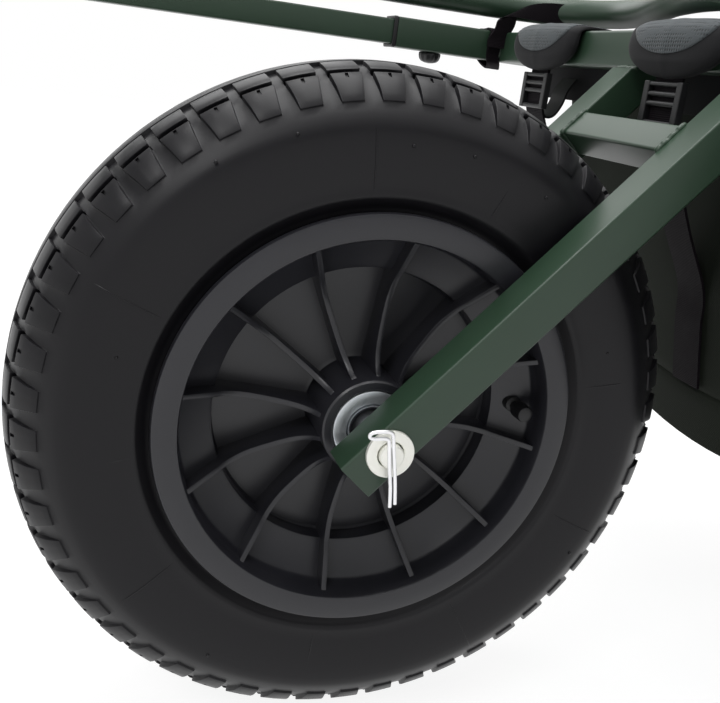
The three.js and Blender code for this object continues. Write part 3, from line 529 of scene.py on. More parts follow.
# Yellow-passivated zinc: a warm cream metal that scatters, so it looks almost white under a large lamp.
cream_zinc = finish("passivated zinc plate, cream", ("#F4F4EA", "#FDFDF8"), 5, (0.36, 0.48), 0.6, 0.01,
                    {"Metallic": 0.5})
bm = turned([(0, -axle_end), (5, -axle_end), (5.6, -axle_end + 0.4), (6, -axle_end + 1.2), (6, arm_outer + 2),
             (0, arm_outer + 2)], 64, closed=False)
head = bmesh.new()
bmesh.ops.create_cone(head, cap_ends=True, segments=6, radius1=head_radius, radius2=head_radius,
                      depth=head_height)
bmesh.ops.bevel(head, geom=head.edges[:], offset=head_round, segments=2, profile=0.5, affect="EDGES",
                material=-1)
bmesh.ops.rotate(head, verts=head.verts, matrix=Matrix.Rotation(math.pi / 2, 3, "X"))
bmesh.ops.translate(head, verts=head.verts, vec=(0, arm_outer + fit_gap + head_height / 2, 0))
piece("axle_pin", joined(bm, head), cream_zinc, "frame", ["axle"], 35)
bm = turned([(6.7, -washer_face + 0.3), (7, -washer_face), (11.3, -washer_face), (11.8, -washer_face + 0.2),
             (12, -washer_face + 0.7), (12, -washer_back - 0.4), (11.6, -washer_back),
             (6.7, -washer_back)], 72)
piece("axle_end_washer", bm, cream_zinc, "frame", ["axle_washer"], 40)
bm = turned([(6.4, -brace_half), (8.6, -brace_half), (9, -brace_half + 0.4), (9, brace_half - 0.4),
             (8.6, brace_half), (6.4, brace_half)], 48)
piece("axle_spacer_sleeve", bm, turned_steel, "frame", ["axle_sleeve"], 40)

# Split pin: half-round zinc wire folded on itself. Its two legs lie across the axle's end, and the eye is
# bent over to the left by hand.
wire_radius = 0.95
pin_y = -(axle_end + wire_radius - 0.1)
pin_points = [(3.9, 0, -23.5), (2.5, 0, -13), (0.6, 0, -2), (-0.7, 0, 5), (-1.6, -0.1, 10),
              (-2.6, -0.4, 12.9), (-4.8, -0.7, 13.9), (-8.2, -0.9, 14), (-11.4, -0.9, 13.7),
              (-13.2, -0.9, 12.9), (-13.7, -0.9, 11.9), (-12.9, -0.9, 10.8), (-10.6, -0.9, 10.4),
              (-7.4, -0.8, 10.5), (-4.6, -0.5, 10.1), (-3.4, -0.1, 8), (-2.6, 0, 3), (-1.2, 0, -6),
              (0.4, 0, -15), (1.5, 0, -25)]
pin_line = [p + Vector((0, pin_y, 0)) for p in smooth_line(pin_points, 6)]
# Bright drawn zinc wire: the palest metal on the barrow.
bright_wire = finish("bright zinc wire", ("#F0F1F4", "#FAFAFB"), 6, (0.24, 0.34), 0.5, 0.004,
                     {"Metallic": 0.8})
piece("bent_split_pin", sweep(pin_line, [wire_radius] * len(pin_line), 14), bright_wire, "frame",
      ["split_pin"], 50)

# Tyre: black natural rubber, moulded with two rows of blocks a side round a centre rib. The blocks, their
# channels and the fine mould lines on the sidewall are cast in one piece.
pitches = 52
pitch_angle = 2 * math.pi / pitches
pitch_shares = (0.12, 0.31, 0.14, 0.31, 0.12)
every_column = (0, 1, 2, 3, 4)
block_columns = (1, 2, 3)
# Where the bands across the tread start and end, as distances from its middle, and how high they stand
rib_edge = 8
block_edge = 10
groove_edge = 22.5
lug_foot = 26.5
lug_end = 38
lug_fade = 7
rib_rise = 2.1
lug_rise = 2.4
lug_end_rise = 1.0
groove_depth = 3.2
lug_taper = 0.28
lug_round = 0.4
vent_margins = (0.8, 0.12)
vent_depth = 1.0
vent_band = (lug_foot + 0.8, 30.5)
# The section taken as an ellipse: how far its middle is from the axle, its half height and its half width
section_reach = 139
section_rise = 34
section_half = 44
# Beyond this distance from the axle a face is on the outer wall, and past the groove the limit falls
outer_reach = 167.5
outer_fall = 0.7
outer_bend = 20
# The limits that pick out the lugs, the faces where their vents go and the tread's sharp edges
lug_reach = 145
vent_reach = 169
vent_facing = 0.7
vent_middle = 0.03
tread_reach = 155
tread_angle = math.radians(40)
# Half of the cross-section, from the crown over the sidewall to the bead, then back along the inner wall
tyre_half = [(175.4, 0), (175.2, rib_edge), (175, block_edge), (174.3, 14.5), (173.3, 19),
             (171.9, groove_edge), (170.5, lug_foot), (168, 29.5), (165.4, 32.6), (162.6, 35.4),
             (159.8, lug_end), (156.6, 40.4), (153.4, 42.4), (150.2, 43.9), (146, 44.4), (141, 44.4),
             (136, 44), (130, 43.3), (124, 42.2), (119.4, 41.3), (118, 41.7), (116.9, 41.4), (115.6, 40),
             (112.5, 36.8), (110.3, 36.3), (102.2, 36.3), (102.2, 27.5), (118, 33.5), (136, 38.6), (152, 36),
             (163, 24), (166.3, 0)]
tyre_section = tyre_half + [(r, -y) for r, y in reversed(tyre_half[1:-1])]


def rise_direction(co):
    """Outwards from the tyre's section, for a point on its tread."""
    reach = reach_of(co)
    out = (reach - section_reach) / section_rise ** 2
    side = co.y / section_half ** 2
    return Vector((co.x / reach * out, side, co.z / reach * out)).normalized()


def lug_height(co):
    """How high a lug stands at a point: full beside the groove, low at its end on the sidewall."""
    share = min(1.0, max(0.0, (lug_end - abs(co.y)) / lug_fade))
    return lug_end_rise + (lug_rise - lug_end_rise) * share


def pitch_turn(co):
    """Where a point lies within its pitch, from 0 to 1."""
    return math.atan2(-co.z, co.x) / pitch_angle


bm = bmesh.new()
line = [bm.verts.new((r, y, 0)) for r, y in tyre_section]
edges = [bm.edges.new(pair) for pair in zip(line, line[1:] + line[:1])]
last = line + edges
columns = []
for share in pitch_shares:
    known = set(bm.faces)
    last = bmesh.ops.spin(bm, geom=last, axis=(0, 1, 0), cent=(0, 0, 0), steps=1,
                          angle=share * 2 * math.pi / pitches)["geom_last"]
    columns.append([f for f in bm.faces if f not in known])
# The centre rib, the second row, the groove behind it and the lugs, each by its columns, its band across the
# tread and its height
bands = [(every_column, 0, rib_edge, lambda co: rib_rise),
         (block_columns, block_edge, groove_edge, lambda co: rib_rise),
         (block_columns, groove_edge, lug_foot, lambda co: -groove_depth),
         (block_columns, lug_foot, lug_end, lug_height)]
for picked, low, high, height in bands:
    for sign in ((1,) if low == 0 else (-1, 1)):
        block = []
        for face in (f for i in picked for f in columns[i] if f.is_valid):
            middle = face.calc_center_median()
            y = abs(middle.y) if low == 0 else sign * middle.y
            limit = outer_reach - (outer_fall * (y - outer_bend) if y > lug_foot else 0)
            if low <= y < high and reach_of(middle) > limit:
                block.append(face)
        out = bmesh.ops.extrude_face_region(bm, geom=block)["geom"]
        bmesh.ops.delete(bm, geom=[f for f in block if f.is_valid], context="FACES_ONLY")
        for v in only(bmesh.types.BMVert, out):
            v.co += rise_direction(v.co) * height(v.co)
# The rib's side walls on the pitch's two ends would end up inside the tyre
ends = [f for f in bm.faces if all(abs(pitch_turn(v.co)) < 1e-3 for v in f.verts)
        or all(abs(pitch_turn(v.co) - 1) < 1e-3 for v in f.verts)]
bmesh.ops.delete(bm, geom=ends, context="FACES")
# The lugs grow narrower down the shoulder
for v in bm.verts:
    turn = pitch_turn(v.co)
    if 0.01 < turn < 0.99 and lug_foot < abs(v.co.y) < section_half and reach_of(v.co) > lug_reach:
        narrowing = 1 - lug_taper * min(1.0, (abs(v.co.y) - lug_foot) / (lug_end - lug_foot))
        shift = (turn - 0.5) * (1 - narrowing) * pitch_angle
        v.co = Matrix.Rotation(-shift, 3, "Y") @ v.co
bmesh.ops.recalc_face_normals(bm, faces=bm.faces)
# A vent in each lug, close to the groove
vents = []
for face in bm.faces:
    middle = face.calc_center_median()
    if (abs(pitch_turn(middle) - 0.5) < vent_middle and vent_band[0] < abs(middle.y) < vent_band[1]
            and reach_of(middle) > vent_reach and face.normal.dot(rise_direction(middle)) > vent_facing):
        vents.append(face)
for margin in vent_margins:
    bmesh.ops.inset_individual(bm, faces=vents, thickness=margin)
for face in vents:
    middle = face.calc_center_median()
    bmesh.ops.translate(bm, verts=face.verts, vec=-vent_depth * rise_direction(middle))
# The tread's edges are rounded, those of the vents are not
vent_floor = {v for face in vents for v in face.verts}
vent_verts = vent_floor | {e.other_vert(v) for v in vent_floor for e in v.link_edges}
sharp = [e for e in bm.edges if len(e.link_faces) == 2 and e.calc_face_angle() > tread_angle
         and all(reach_of(v.co) > tread_reach for v in e.verts) and not vent_verts.intersection(e.verts)]
bmesh.ops.bevel(bm, geom=sharp, offset=lug_round, segments=2, profile=0.5, affect="EDGES", material=-1)
bmesh.ops.spin(bm, geom=bm.verts[:] + bm.edges[:] + bm.faces[:], axis=(0, 1, 0), cent=(0, 0, 0),
               steps=pitches - 1, angle=2 * math.pi * (pitches - 1) / pitches, use_duplicate=True)
bmesh.ops.remove_doubles(bm, verts=bm.verts, dist=5e-3)
bmesh.ops.recalc_face_normals(bm, faces=bm.faces)
# Lines where the mould's segments meet, each by its angle and by its first and last point of the
# cross-section, and the stubs of its vents, by angle and radius
mould_lines = [(153.8, 12, 20), (97.1, 13, 20), (67.6, 16, 20), (-23.8, 12, 19), (125.3, 18, 20),
               (218, 13, 20), (262, 16, 20), (300, 12, 20), (12, 15, 20), (188, 17, 20)]
line_radius = 0.42
line_end = 0.1
line_sink = 0.08
vent_stubs = [(111, 151), (125.4, 153.8), (89.8, 141.4), (77.3, 143), (59.8, 143.2), (20, 133), (-30, 147),
              (-75, 128), (-120, 146), (165, 131)]
stub_radius = 0.9
sidewall = tyre_half[13:]
lines = [bm]
for sign in (-1, 1):
    for angle, first, last in mould_lines:
        turn = Matrix.Rotation(math.radians(-angle), 4, "Y")
        path = [turn @ Vector((r, sign * (y - line_sink), 0)) for r, y in tyre_half[first:last]]
        lines.append(sweep(path, [line_end] + [line_radius] * (len(path) - 2) + [line_end], 6))
    for angle, reach in vent_stubs:
        turn = Matrix.Rotation(math.radians(-angle), 4, "Y")
        stub = bmesh.new()
        bmesh.ops.create_uvsphere(stub, u_segments=10, v_segments=6, radius=stub_radius)
        y = next(y for r, y in sidewall if r <= reach)
        bmesh.ops.translate(stub, verts=stub.verts, vec=turn @ Vector((reach, sign * y, 0)))
        lines.append(stub)

# Natural rubber with carbon black: a deep warm black, satin from the mould, with a faint dusty bloom at a
# glancing angle.
moulded_rubber = finish("moulded natural rubber", ("#0D0C10", "#121115"), 18, (0.32, 0.46), 0.9, 0.02,
                        {"Specular IOR Level": 0.25, "Sheen Weight": 0.03, "Sheen Roughness": 0.5})
piece("block_tread_tyre", joined(*lines), moulded_rubber, "wheel", ["tyre"], 35)

# Inner tube: butyl rubber, filling the tyre, with its valve moulded in. Only the stem and its cap show,
# through the rim's sloping shoulder.
valve_turn = Matrix.Rotation(math.radians(-5), 3, "Y")
valve_reach = 87
# Butyl rubber: matte black.
butyl = finish("butyl rubber", ("#161617", "#1C1C1D"), 15, (0.55, 0.7), 0.8, 0.01)
tube_half = [(164.5, 0), (162, 20), (140, 36.3), (122, 32), (106, 23), (89.5, 12.3), (82.2, 8), (82.2, 0)]
bm = turned(tube_half + [(r, -y) for r, y in reversed(tube_half[1:-1])], 96)
stem = turned([(0, -30.2), (2.6, -30.2), (2.6, -24), (4.3, -23), (4.4, -12), (4.4, -6), (0, -6)], 32,
              closed=False)
cap = turned([(0, -39), (2.6, -39), (4, -38.2), (4.5, -36.6), (4.7, -29.2), (0, -29.2)], 40, closed=False)
for part in (stem, cap):
    bmesh.ops.translate(part, verts=part.verts, vec=(valve_reach, 0, 0))
    bmesh.ops.rotate(part, verts=part.verts, matrix=valve_turn)
piece("butyl_inner_tube", joined(bm, stem), butyl, "wheel", ["inner_tube"], 40)
piece("valve_dust_cap", cap, moulded_black, "wheel", ["valve_cap"], 40)

# Rim: one piece of glass-filled polypropylene with a rolled lip, a bead seat and well outside, and inside it
# a sloping shoulder, a thin web, twelve fins a side and a hub.
rim_half = [(81, 0), (81, 8.7), (101.3, 25), (101.3, 37.2), (107.5, 37.5), (109.1, 38.3), (109.7, 39.5),
            (109.7, 41.6), (109.2, 42.8), (108.1, 43.3), (98.2, 43.3), (97.1, 42.9), (96.4, 41.7), (96.2, 34),
            (95.8, 26.8), (94.6, 25.2), (79, 15.4), (77.4, 14.2), (77, 12.6), (77, 4.2), (75.8, 3), (28.5, 3),
            (26.4, 3.9), (25.5, 6), (25.3, 40), (24.4, 40.9), (21, 40.9), (20.3, 40.2), (20.3, 28.6),
            (14.3, 28.6), (14.3, 0)]
bm = turned(rim_half + [(r, -y) for r, y in reversed(rim_half[1:-1])], 144)
# A fin's free edge from the hub to the lip, and its foot in the rim: radius and distance from the middle
fin_edge = [(24.5, 34), (30, 27), (40, 21), (60, 17.7), (72, 20.5), (80, 26), (90, 32.5), (97, 37.4)]
fin_foot = [(97, 24), (78.5, 11), (76.2, 1), (24.5, 1)]
fin_free = 12
fin_count = 12
fin_first = 22.5
fin_half_thickness = 1.5
fin_round = 0.6
for sign in (-1, 1):
    outline = [(p.x, sign * p.y) for p in smooth_line([(r, y, 0) for r, y in fin_edge], 3)]
    outline += [(r, sign * y) for r, y in fin_foot]
    for i in range(fin_count):
        fin = bmesh.new()
        face = fin.faces.new([fin.verts.new((r, y, -fin_half_thickness)) for r, y in outline])
        out = bmesh.ops.extrude_face_region(fin, geom=[face])["geom"]
        bmesh.ops.translate(fin, verts=only(bmesh.types.BMVert, out), vec=(0, 0, 2 * fin_half_thickness))
        bmesh.ops.recalc_face_normals(fin, faces=fin.faces)
        long_edges = [e for e in fin.edges if e.calc_face_angle() > 1
                      and all(sign * v.co.y > fin_free for v in e.verts)]
        bmesh.ops.bevel(fin, geom=long_edges, offset=fin_round, segments=2, profile=0.5, affect="EDGES",
                        material=-1)
        turn = Matrix.Rotation(-math.radians(fin_first + i * 360 / fin_count), 3, "Y")
        bmesh.ops.rotate(fin, verts=fin.verts, matrix=turn)
        bm = joined(bm, fin)
# Glass-filled polypropylene, moulded: charcoal with a faint violet cast, and the shiniest of the plastics.
rim_plastic = finish("glass-filled polypropylene", ("#222227", "#2B2B30"), 22, (0.28, 0.4), 0.7, 0.01,
                     {"Specular IOR Level": 0.46})
piece("finned_rim", bm, rim_plastic, "wheel", ["rim"], 35)

# Hub bearings: ball bearings pressed into the hub, each behind a pressed zinc shield with a dark gap round
# the inner race.
seat_y = 28.9
# Nitrile seal: matte black, only seen as the gap round the race.
nitrile = finish("nitrile seal", ("#0C0C0D", "#111112"), 4, (0.6, 0.7), 0.4, 0.005)
# Oiled bearing steel: a dark grey metal.
dark_steel = finish("oiled bearing steel", ("#3C3C42", "#4A4A50"), 6, (0.4, 0.5), 0.4, 0.006,
                    {"Metallic": 0.7})
for side, sign in sides:
    shield = turned([(19.9, seat_y), (20, 40.2), (19.7, 40.8), (19.2, 41), (13.6, 41), (13.1, 40.8),
                     (12.9, 40.3), (12.9, seat_y)], 96)
    rim_of_race = turned([(11.3, seat_y), (12.1, seat_y), (12.1, 40.3), (11.9, 40.7), (11.5, 40.7),
                          (11.3, 40.3)], 96)
    seal = turned([(12.1, 29.2), (12.9, 29.2), (12.9, 37), (12.1, 37)], 72)
    race = turned([(9.3, seat_y), (11.3, seat_y), (11.3, 38.6), (9.3, 38.4)], 72)
    if sign < 0:
        for part in (shield, rim_of_race, seal, race):
            bmesh.ops.rotate(part, verts=part.verts, matrix=Matrix.Rotation(math.pi, 3, "X"))
    piece(f"bearing_shield_{side}", joined(shield, rim_of_race), bright_zinc, "wheel",
          [f"hub_bearing_{side}"], 40)
    piece(f"bearing_seal_{side}", seal, nitrile, "wheel", (), 40)
    piece(f"bearing_race_{side}", race, dark_steel, "wheel", (), 40)

# Hanging bag: PU-coated nylon sewn to a sack that hangs between the front and the rear cross rail. Its front
# wall hangs nearly straight before it slopes back, a seam joins the walls to the floor's band, and the floor
# sags.
bag_front = 195
bag_rear = 553.4
bag_top = rail_bottom - 0.6
bag_depth = 215
bag_slope = 32
bag_rear_slope = 40
bag_bow = 8
bag_bow_fade = 0.4
bag_half_top = 210
bag_half_bottom = 170
bag_corner = 40
bag_wall = 1.6
bag_side_rise = 40
floor_sag = 8
floor_rows = 8
fold_depth = 2.6
crease_depth = 1.6
crease_sink = 2.2
front_slack = 0.3
seam_share = 0.841
seam_reach = 0.009
seam_width = 0.006
seam_depth = 1.3
wall_steps = 120
wall_levels = 26


def bag_front_x(share):
    """The bag's front wall, from its top to its floor."""
    return bag_front + bag_slope * share - bag_bow * math.sin(math.pi * share) * (1 - bag_bow_fade * share)


def bag_point(turn, share, shrink, drop):
    """A point of the bag: turn goes round it and share from its top to its floor. Across the floor, shrink
    draws the wall in and drop lets it sag."""
    front = bag_front_x(share)
    rear = bag_rear - bag_rear_slope * share
    half_y = bag_half_top + (bag_half_bottom - bag_half_top) * share
    middle_x = (front + rear) / 2
    half_x = (rear - front) / 2
    c, s = math.cos(turn), math.sin(turn)
    dx = max(bag_corner - half_x, min(half_x - bag_corner, 1.5 * half_x * c))
    dy = max(bag_corner - half_y, min(half_y - bag_corner, 1.5 * half_y * s))
    x = (dx + bag_corner * c) * shrink
    y = (dy + bag_corner * s) * shrink
    rise = bag_side_rise * (y / half_y) ** 2
    z = bag_top - share * (bag_depth - rise) - drop
    at = Vector((middle_x + x, y, z))
    slack = math.sin(math.pi * share) * shrink * (front_slack if c < -0.6 else 1)
    folds = fold_depth * noise.noise(Vector((at.x * 0.010, at.y * 0.012, at.z * 0.03 + 3)))
    creases = crease_depth * noise.noise(Vector((at.x * 0.035, at.y * 0.03, at.z * 0.012)))
    seam = seam_depth * math.exp(-((share - seam_share) / seam_width) ** 2)
    return at + Vector((c, s, 0)) * ((folds + creases - crease_sink) * slack - seam)


bm = bmesh.new()
bmesh.ops.create_circle(bm, segments=wall_steps, radius=1, cap_ends=False)
current = {v: math.atan2(v.co.y, v.co.x) for v in bm.verts}
shares = [k / wall_levels for k in range(wall_levels + 1)]
shares = sorted(shares + [seam_share - seam_reach, seam_share, seam_share + seam_reach])
rows = [(share, 1.0, 0.0) for share in shares]
rows += [(1.0, 1 - k / (floor_rows + 1), floor_sag * math.sin(k / floor_rows * math.pi / 2))
         for k in range(1, floor_rows + 1)]
edges = bm.edges[:]
for k, (share, shrink, drop) in enumerate(rows):
    if k:
        out = bmesh.ops.extrude_edge_only(bm, edges=edges)["geom"]
        edges = only(bmesh.types.BMEdge, out)
        before = current
        current = {}
        for v in only(bmesh.types.BMVert, out):
            current[v] = next(before[e.other_vert(v)] for e in v.link_edges if e.other_vert(v) in before)
    for v, turn in current.items():
        v.co = bag_point(turn, share, shrink, drop)
bmesh.ops.contextual_create(bm, geom=edges)
bmesh.ops.recalc_face_normals(bm, faces=bm.faces)
bmesh.ops.solidify(bm, geom=bm.faces[:], thickness=bag_wall)

# PU-coated woven nylon: dull olive, a plain weave 0.7 mm apart drawn at 1.4 mm so that it shows, with a dry
# sheen at a glancing angle.
coated_nylon = finish("PU-coated woven nylon", ("#171C15", "#1E231B"), 45, (0.7, 0.82), 1.1, 0.06,
                      {"Sheen Weight": 0.02, "Sheen Roughness": 0.5, "Specular IOR Level": 0.12})
tree = coated_nylon.node_tree
shader = tree.nodes["Principled BSDF"]
place = add(tree, "TexCoord").outputs["Object"]
thread = 1.4
warp = add(tree, "TexWave", {"Vector": place, "Scale": math.pi / (5 * thread * mm), "Distortion": 0.6},
           bands_direction="Z")
weft = add(tree, "TexWave", {"Vector": place, "Scale": math.pi / (5 * thread * mm), "Distortion": 0.6},
           bands_direction="DIAGONAL")
woven = add(tree, "Math", {0: warp, 1: weft}, operation="MULTIPLY")
weave = add(tree, "Bump", {"Height": woven, "Strength": 0.7, "Distance": 0.1 * mm,
                           "Normal": shader.inputs["Normal"].links[0].from_node})
tree.links.new(weave.outputs[0], shader.inputs["Normal"])
piece("hanging_bag_shell", bm, coated_nylon, "frame", ["under_bag"], 60)

# Hanger pads: EVA foam between a mesh face and a cloth back, sewn round with a black binding. Each folds over
# the front rail, ends in a round nose in front and lies against the bag's front wall behind.
pad_middle_x = front_rail_x - 4.3
pad_rear_x = front_rail_x + rail_side + 3.2
pad_top = rail_top + 1.6
pad_half = 45
pad_nose = 0.17
pad_nose_bunch = 1.35
pad_thickness = 8.5
pad_thinning = 0.6
pad_edge = 0.35
pad_lift = 0.4
pad_bulge = 3
crown_power = 2.6
crown_reach = 0.08
ridge_height = 0.35
ridge_width = 0.1
mesh_first = 0.11
mesh_lift = 0.35
mesh_crown = 0.6
mesh_under = 1.5
mesh_half = pad_half - 8
pad_line = smooth_line([(pad_middle_x - 1.5, 0, rail_bottom - 5), (pad_middle_x - 0.7, 0, rail_bottom + 6),
                        (pad_middle_x - 0.3, 0, rail_top - 6), (pad_middle_x + 1.2, 0, pad_top - 2.7),
                        (pad_middle_x + 6, 0, pad_top - 0.2), (front_rail_x + rail_side / 2, 0, pad_top),
                        (pad_rear_x - 5, 0, pad_top - 0.2), (pad_rear_x - 0.8, 0, pad_top - 2.9),
                        (pad_rear_x, 0, rail_top - 6), (pad_rear_x, 0, rail_bottom + 4),
                        (pad_rear_x, 0, rail_bottom - 22)], 5)
pad_steps = 60
pad_across = 28
pad_places = (("middle", 7), ("right", 163))


def pad_centre(share):
    """The pad's middle line at a share of its length, and the way out from the rail there."""
    place = share * (len(pad_line) - 1)
    i = min(int(place), len(pad_line) - 2)
    before, after = pad_line[max(i - 1, 0)], pad_line[min(i + 2, len(pad_line) - 1)]
    centre = pad_line[i].lerp(pad_line[i + 1], place - i)
    return centre, (after - before).normalized().cross(Vector((0, 1, 0)))


def nose_half(reach, half):
    """Half the width of a form with a round nose, at a share of the pad's length from its tip."""
    return max(2.0, half * math.sqrt(1 - (1 - min(1, reach / pad_nose)) ** 2))


def crown_at(across, reach):
    """The crown's share of its full height."""
    return max(0.0, 1 - abs(across) ** crown_power) ** 0.5 * min(1, (reach + 0.004) / crown_reach) ** 0.5


def body_height(share, offset, out, outside):
    """How far the body's skin stands off the middle line."""
    across = max(-1.0, min(1.0, offset / nose_half(share, pad_half)))
    crown = crown_at(across, share)
    thinned = pad_thickness / 2 * (1 - pad_thinning * max(0.0, out.z))
    thickness = thinned * (pad_edge + (1 - pad_edge) * crown)
    if not outside:
        return pad_lift - thickness
    ridge = ridge_height * math.exp(-(across / ridge_width) ** 2) * crown
    return pad_lift + thickness + ridge + pad_bulge * crown * max(0.0, -out.x)


def pad_form(y, half, first, is_mesh):
    """A crowned form that follows pad_line from the share first on: the body, or the mesh let into its
    face."""
    bm = bmesh.new()
    bmesh.ops.create_grid(bm, x_segments=pad_steps, y_segments=pad_across, size=1)
    bmesh.ops.solidify(bm, geom=bm.faces[:], thickness=-1)
    half_way = sum(v.co.z for v in bm.verts) / len(bm.verts)
    for v in bm.verts:
        share = first + (1 - first) * ((v.co.x + 1) / 2) ** pad_nose_bunch
        centre, out = pad_centre(share)
        across = v.co.y
        offset = across * nose_half(share - first, half)
        outside = v.co.z > half_way
        if is_mesh:
            height = body_height(share, offset, out, True)
            height += mesh_lift + mesh_crown * crown_at(across, share - first) if outside else -mesh_under
        else:
            height = body_height(share, offset, out, outside)
        v.co = centre + Vector((0, y + offset, 0)) + out * height
    bmesh.ops.recalc_face_normals(bm, faces=bm.faces)
    return bm


# Polyester spacer mesh: mid grey, a net of holes about 2 mm apart, matte with a silky edge.
spacer_mesh = finish("polyester spacer mesh", ("#3F4447", "#4E5457"), 24, (0.7, 0.85), 0.8, 0.05,
                     {"Sheen Weight": 0.15, "Sheen Roughness": 0.4})
tree = spacer_mesh.node_tree
shader = tree.nodes["Principled BSDF"]
place = add(tree, "TexCoord").outputs["Object"]
hole_pitch = 2.0
holes = add(tree, "TexVoronoi", {"Vector": place, "Scale": 1 / (hole_pitch * mm), "Randomness": 0.25})
net = add(tree, "MapRange", {"Value": holes, "From Min": 0.15, "From Max": 0.45})
cloth = shader.inputs["Base Color"].links[0].from_socket
dark = add(tree, "Mix", {"Factor": net, 6: linear("#23272A"), 7: cloth}, data_type="RGBA")
tree.links.new(dark.outputs[2], shader.inputs["Base Color"])
holed = add(tree, "Bump", {"Height": net, "Strength": 0.8, "Distance": 0.3 * mm,
                           "Normal": shader.inputs["Normal"].links[0].from_node})
tree.links.new(holed.outputs[0], shader.inputs["Normal"])
# Nylon binding tape: near black and matte, with a grain as coarse as its ribs.
binding_tape = finish("nylon binding tape", ("#0E0E10", "#151518"), 16, (0.75, 0.88), 0.8, 0.08,
                      {"Sheen Weight": 0.04, "Sheen Roughness": 0.4, "Specular IOR Level": 0.3})
for place_name, y in pad_places:
    bm = pad_form(y, pad_half, 0, False)
    back = piece(f"pad_bound_body_{place_name}", bm, binding_tape, "frame",
                 [f"hanger_pad_{place_name}"], 80)
    bm = pad_form(y, mesh_half, mesh_first, True)
    face = piece(f"pad_mesh_face_{place_name}", bm, spacer_mesh, "frame", (), 80)

# Webbing: 25 mm polypropylene straps. Each hangs from a pad's end through a ladder buckle to the bag, a loop
# lies round the right side rail, and a wide strap holds the bag to the rear rail.
sideways = (0, 1, 0)
rearwards = (1, 0, 0)
strap_width = 25
rib_pitch = 1.1
# Polypropylene webbing: black with a violet cast, woven in ribs across its width.
webbing_cloth = finish("polypropylene webbing", ("#0F0B0F", "#151015"), 14, (0.62, 0.78), 0.6, 0.03,
                       {"Sheen Weight": 0.01, "Sheen Roughness": 0.4, "Specular IOR Level": 0.1})
tree = webbing_cloth.node_tree
shader = tree.nodes["Principled BSDF"]
strip = add(tree, "UVMap", uv_map="strip")
ribs = add(tree, "TexWave", {"Vector": strip, "Scale": math.pi / (10 * rib_pitch * mm), "Distortion": 0.4},
           bands_direction="X")
ribbed = add(tree, "Bump", {"Height": ribs, "Strength": 0.8, "Distance": 0.25 * mm,
                            "Normal": shader.inputs["Normal"].links[0].from_node})
tree.links.new(ribbed.outputs[0], shader.inputs["Normal"])


def strap(points, across, width, thickness=1.6, last_across=None):
    """A flat strap whose middle line runs through the points. Its width lies along one direction, or turns
    from it to another."""
    line = [Vector(p) for p in points]
    reach = [0.0]
    for a, b in zip(line, line[1:]):
        reach.append(reach[-1] + (b - a).length)
    first = Vector(across).normalized()
    last = Vector(last_across or across).normalized()
    bm = bmesh.new()
    uv = bm.loops.layers.uv.new("strip")
    bmesh.ops.create_grid(bm, x_segments=len(line) - 1, y_segments=6, size=1)
    for face in bm.faces:
        for loop in face.loops:
            i = round((loop.vert.co.x + 1) / 2 * (len(line) - 1))
            loop[uv].uv = (reach[i] * mm, loop.vert.co.y * width / 2 * mm)
    for v in bm.verts:
        i = round((v.co.x + 1) / 2 * (len(line) - 1))
        way = first.lerp(last, reach[i] / reach[-1]).normalized()
        v.co = line[i] + way * v.co.y * width / 2
    bmesh.ops.recalc_face_normals(bm, faces=bm.faces)
    bmesh.ops.solidify(bm, geom=bm.faces[:], thickness=thickness)
    return bm


strap_x = pad_middle_x - 1.1
strap_corner = rail_bottom - 31
strap_off = 1.9
strap_line = [(strap_x, 0, rail_bottom + 1), (strap_x, 0, rail_bottom - 16),
              (strap_x + 0.3, 0, strap_corner + 4), (strap_x + 2.5, 0, strap_corner - 6),
              (strap_x + 24, 0, strap_corner - 52)]
strap_line += [(bag_front_x(share) - strap_off, 0, bag_top - share * bag_depth)
               for share in (0.55, 0.65, 0.74, 0.835)]
for place_name, y in pad_places:
    points = smooth_line([Vector(p) + Vector((0, y, 0)) for p in strap_line], 8)
    piece(f"hanger_strap_{place_name}", strap(points, sideways, strap_width), webbing_cloth, "frame",
          [f"hanger_webbing_{place_name}"], 50)
# A loop round the right side rail, whose end stands up beside the luggage hoop
loop_middle = 160
loop_width = 11
loop_off = 1.4
low_y = rail_y - rail_side / 2 - loop_off
high_y = rail_y + rail_side / 2 + loop_off
loop_line = [(loop_middle, low_y, rail_top - 3), (loop_middle, low_y, rail_bottom + 3),
             (loop_middle + 2, low_y + 2, rail_bottom - 2.5), (loop_middle + 6, rail_y, rail_bottom - 6),
             (loop_middle + 4, high_y - 2, rail_bottom - 2), (loop_middle + 1, high_y, rail_bottom + 4),
             (loop_middle, high_y, rail_top - 3), (loop_middle, high_y - 2, rail_top + 1.2),
             (loop_middle, rail_y, rail_top + loop_off), (loop_middle, low_y + 4, rail_top + 2),
             (loop_middle, low_y - 1.6, rail_top + 0.6), (loop_middle, low_y - 2.6, rail_top - 5)]
piece("rail_loop_strap", strap(smooth_line(loop_line, 6), rearwards, loop_width), webbing_cloth, "frame",
      (), 50)
end_width = 16
end_line = [(loop_middle, 243.4, 203), (loop_middle, 243.4, 210), (loop_middle + 3, 240.8, 219),
            (163.5, 238, 227), (171, 235.4, 231.5), (185, 232, 233), (200, 228, 233), (210, 225, 233.5)]
bm = strap(smooth_line(end_line, 6), rearwards, end_width, last_across=(0.1, -0.2, 1))
piece("rail_loop_end", bm, webbing_cloth, "frame", (), 50)
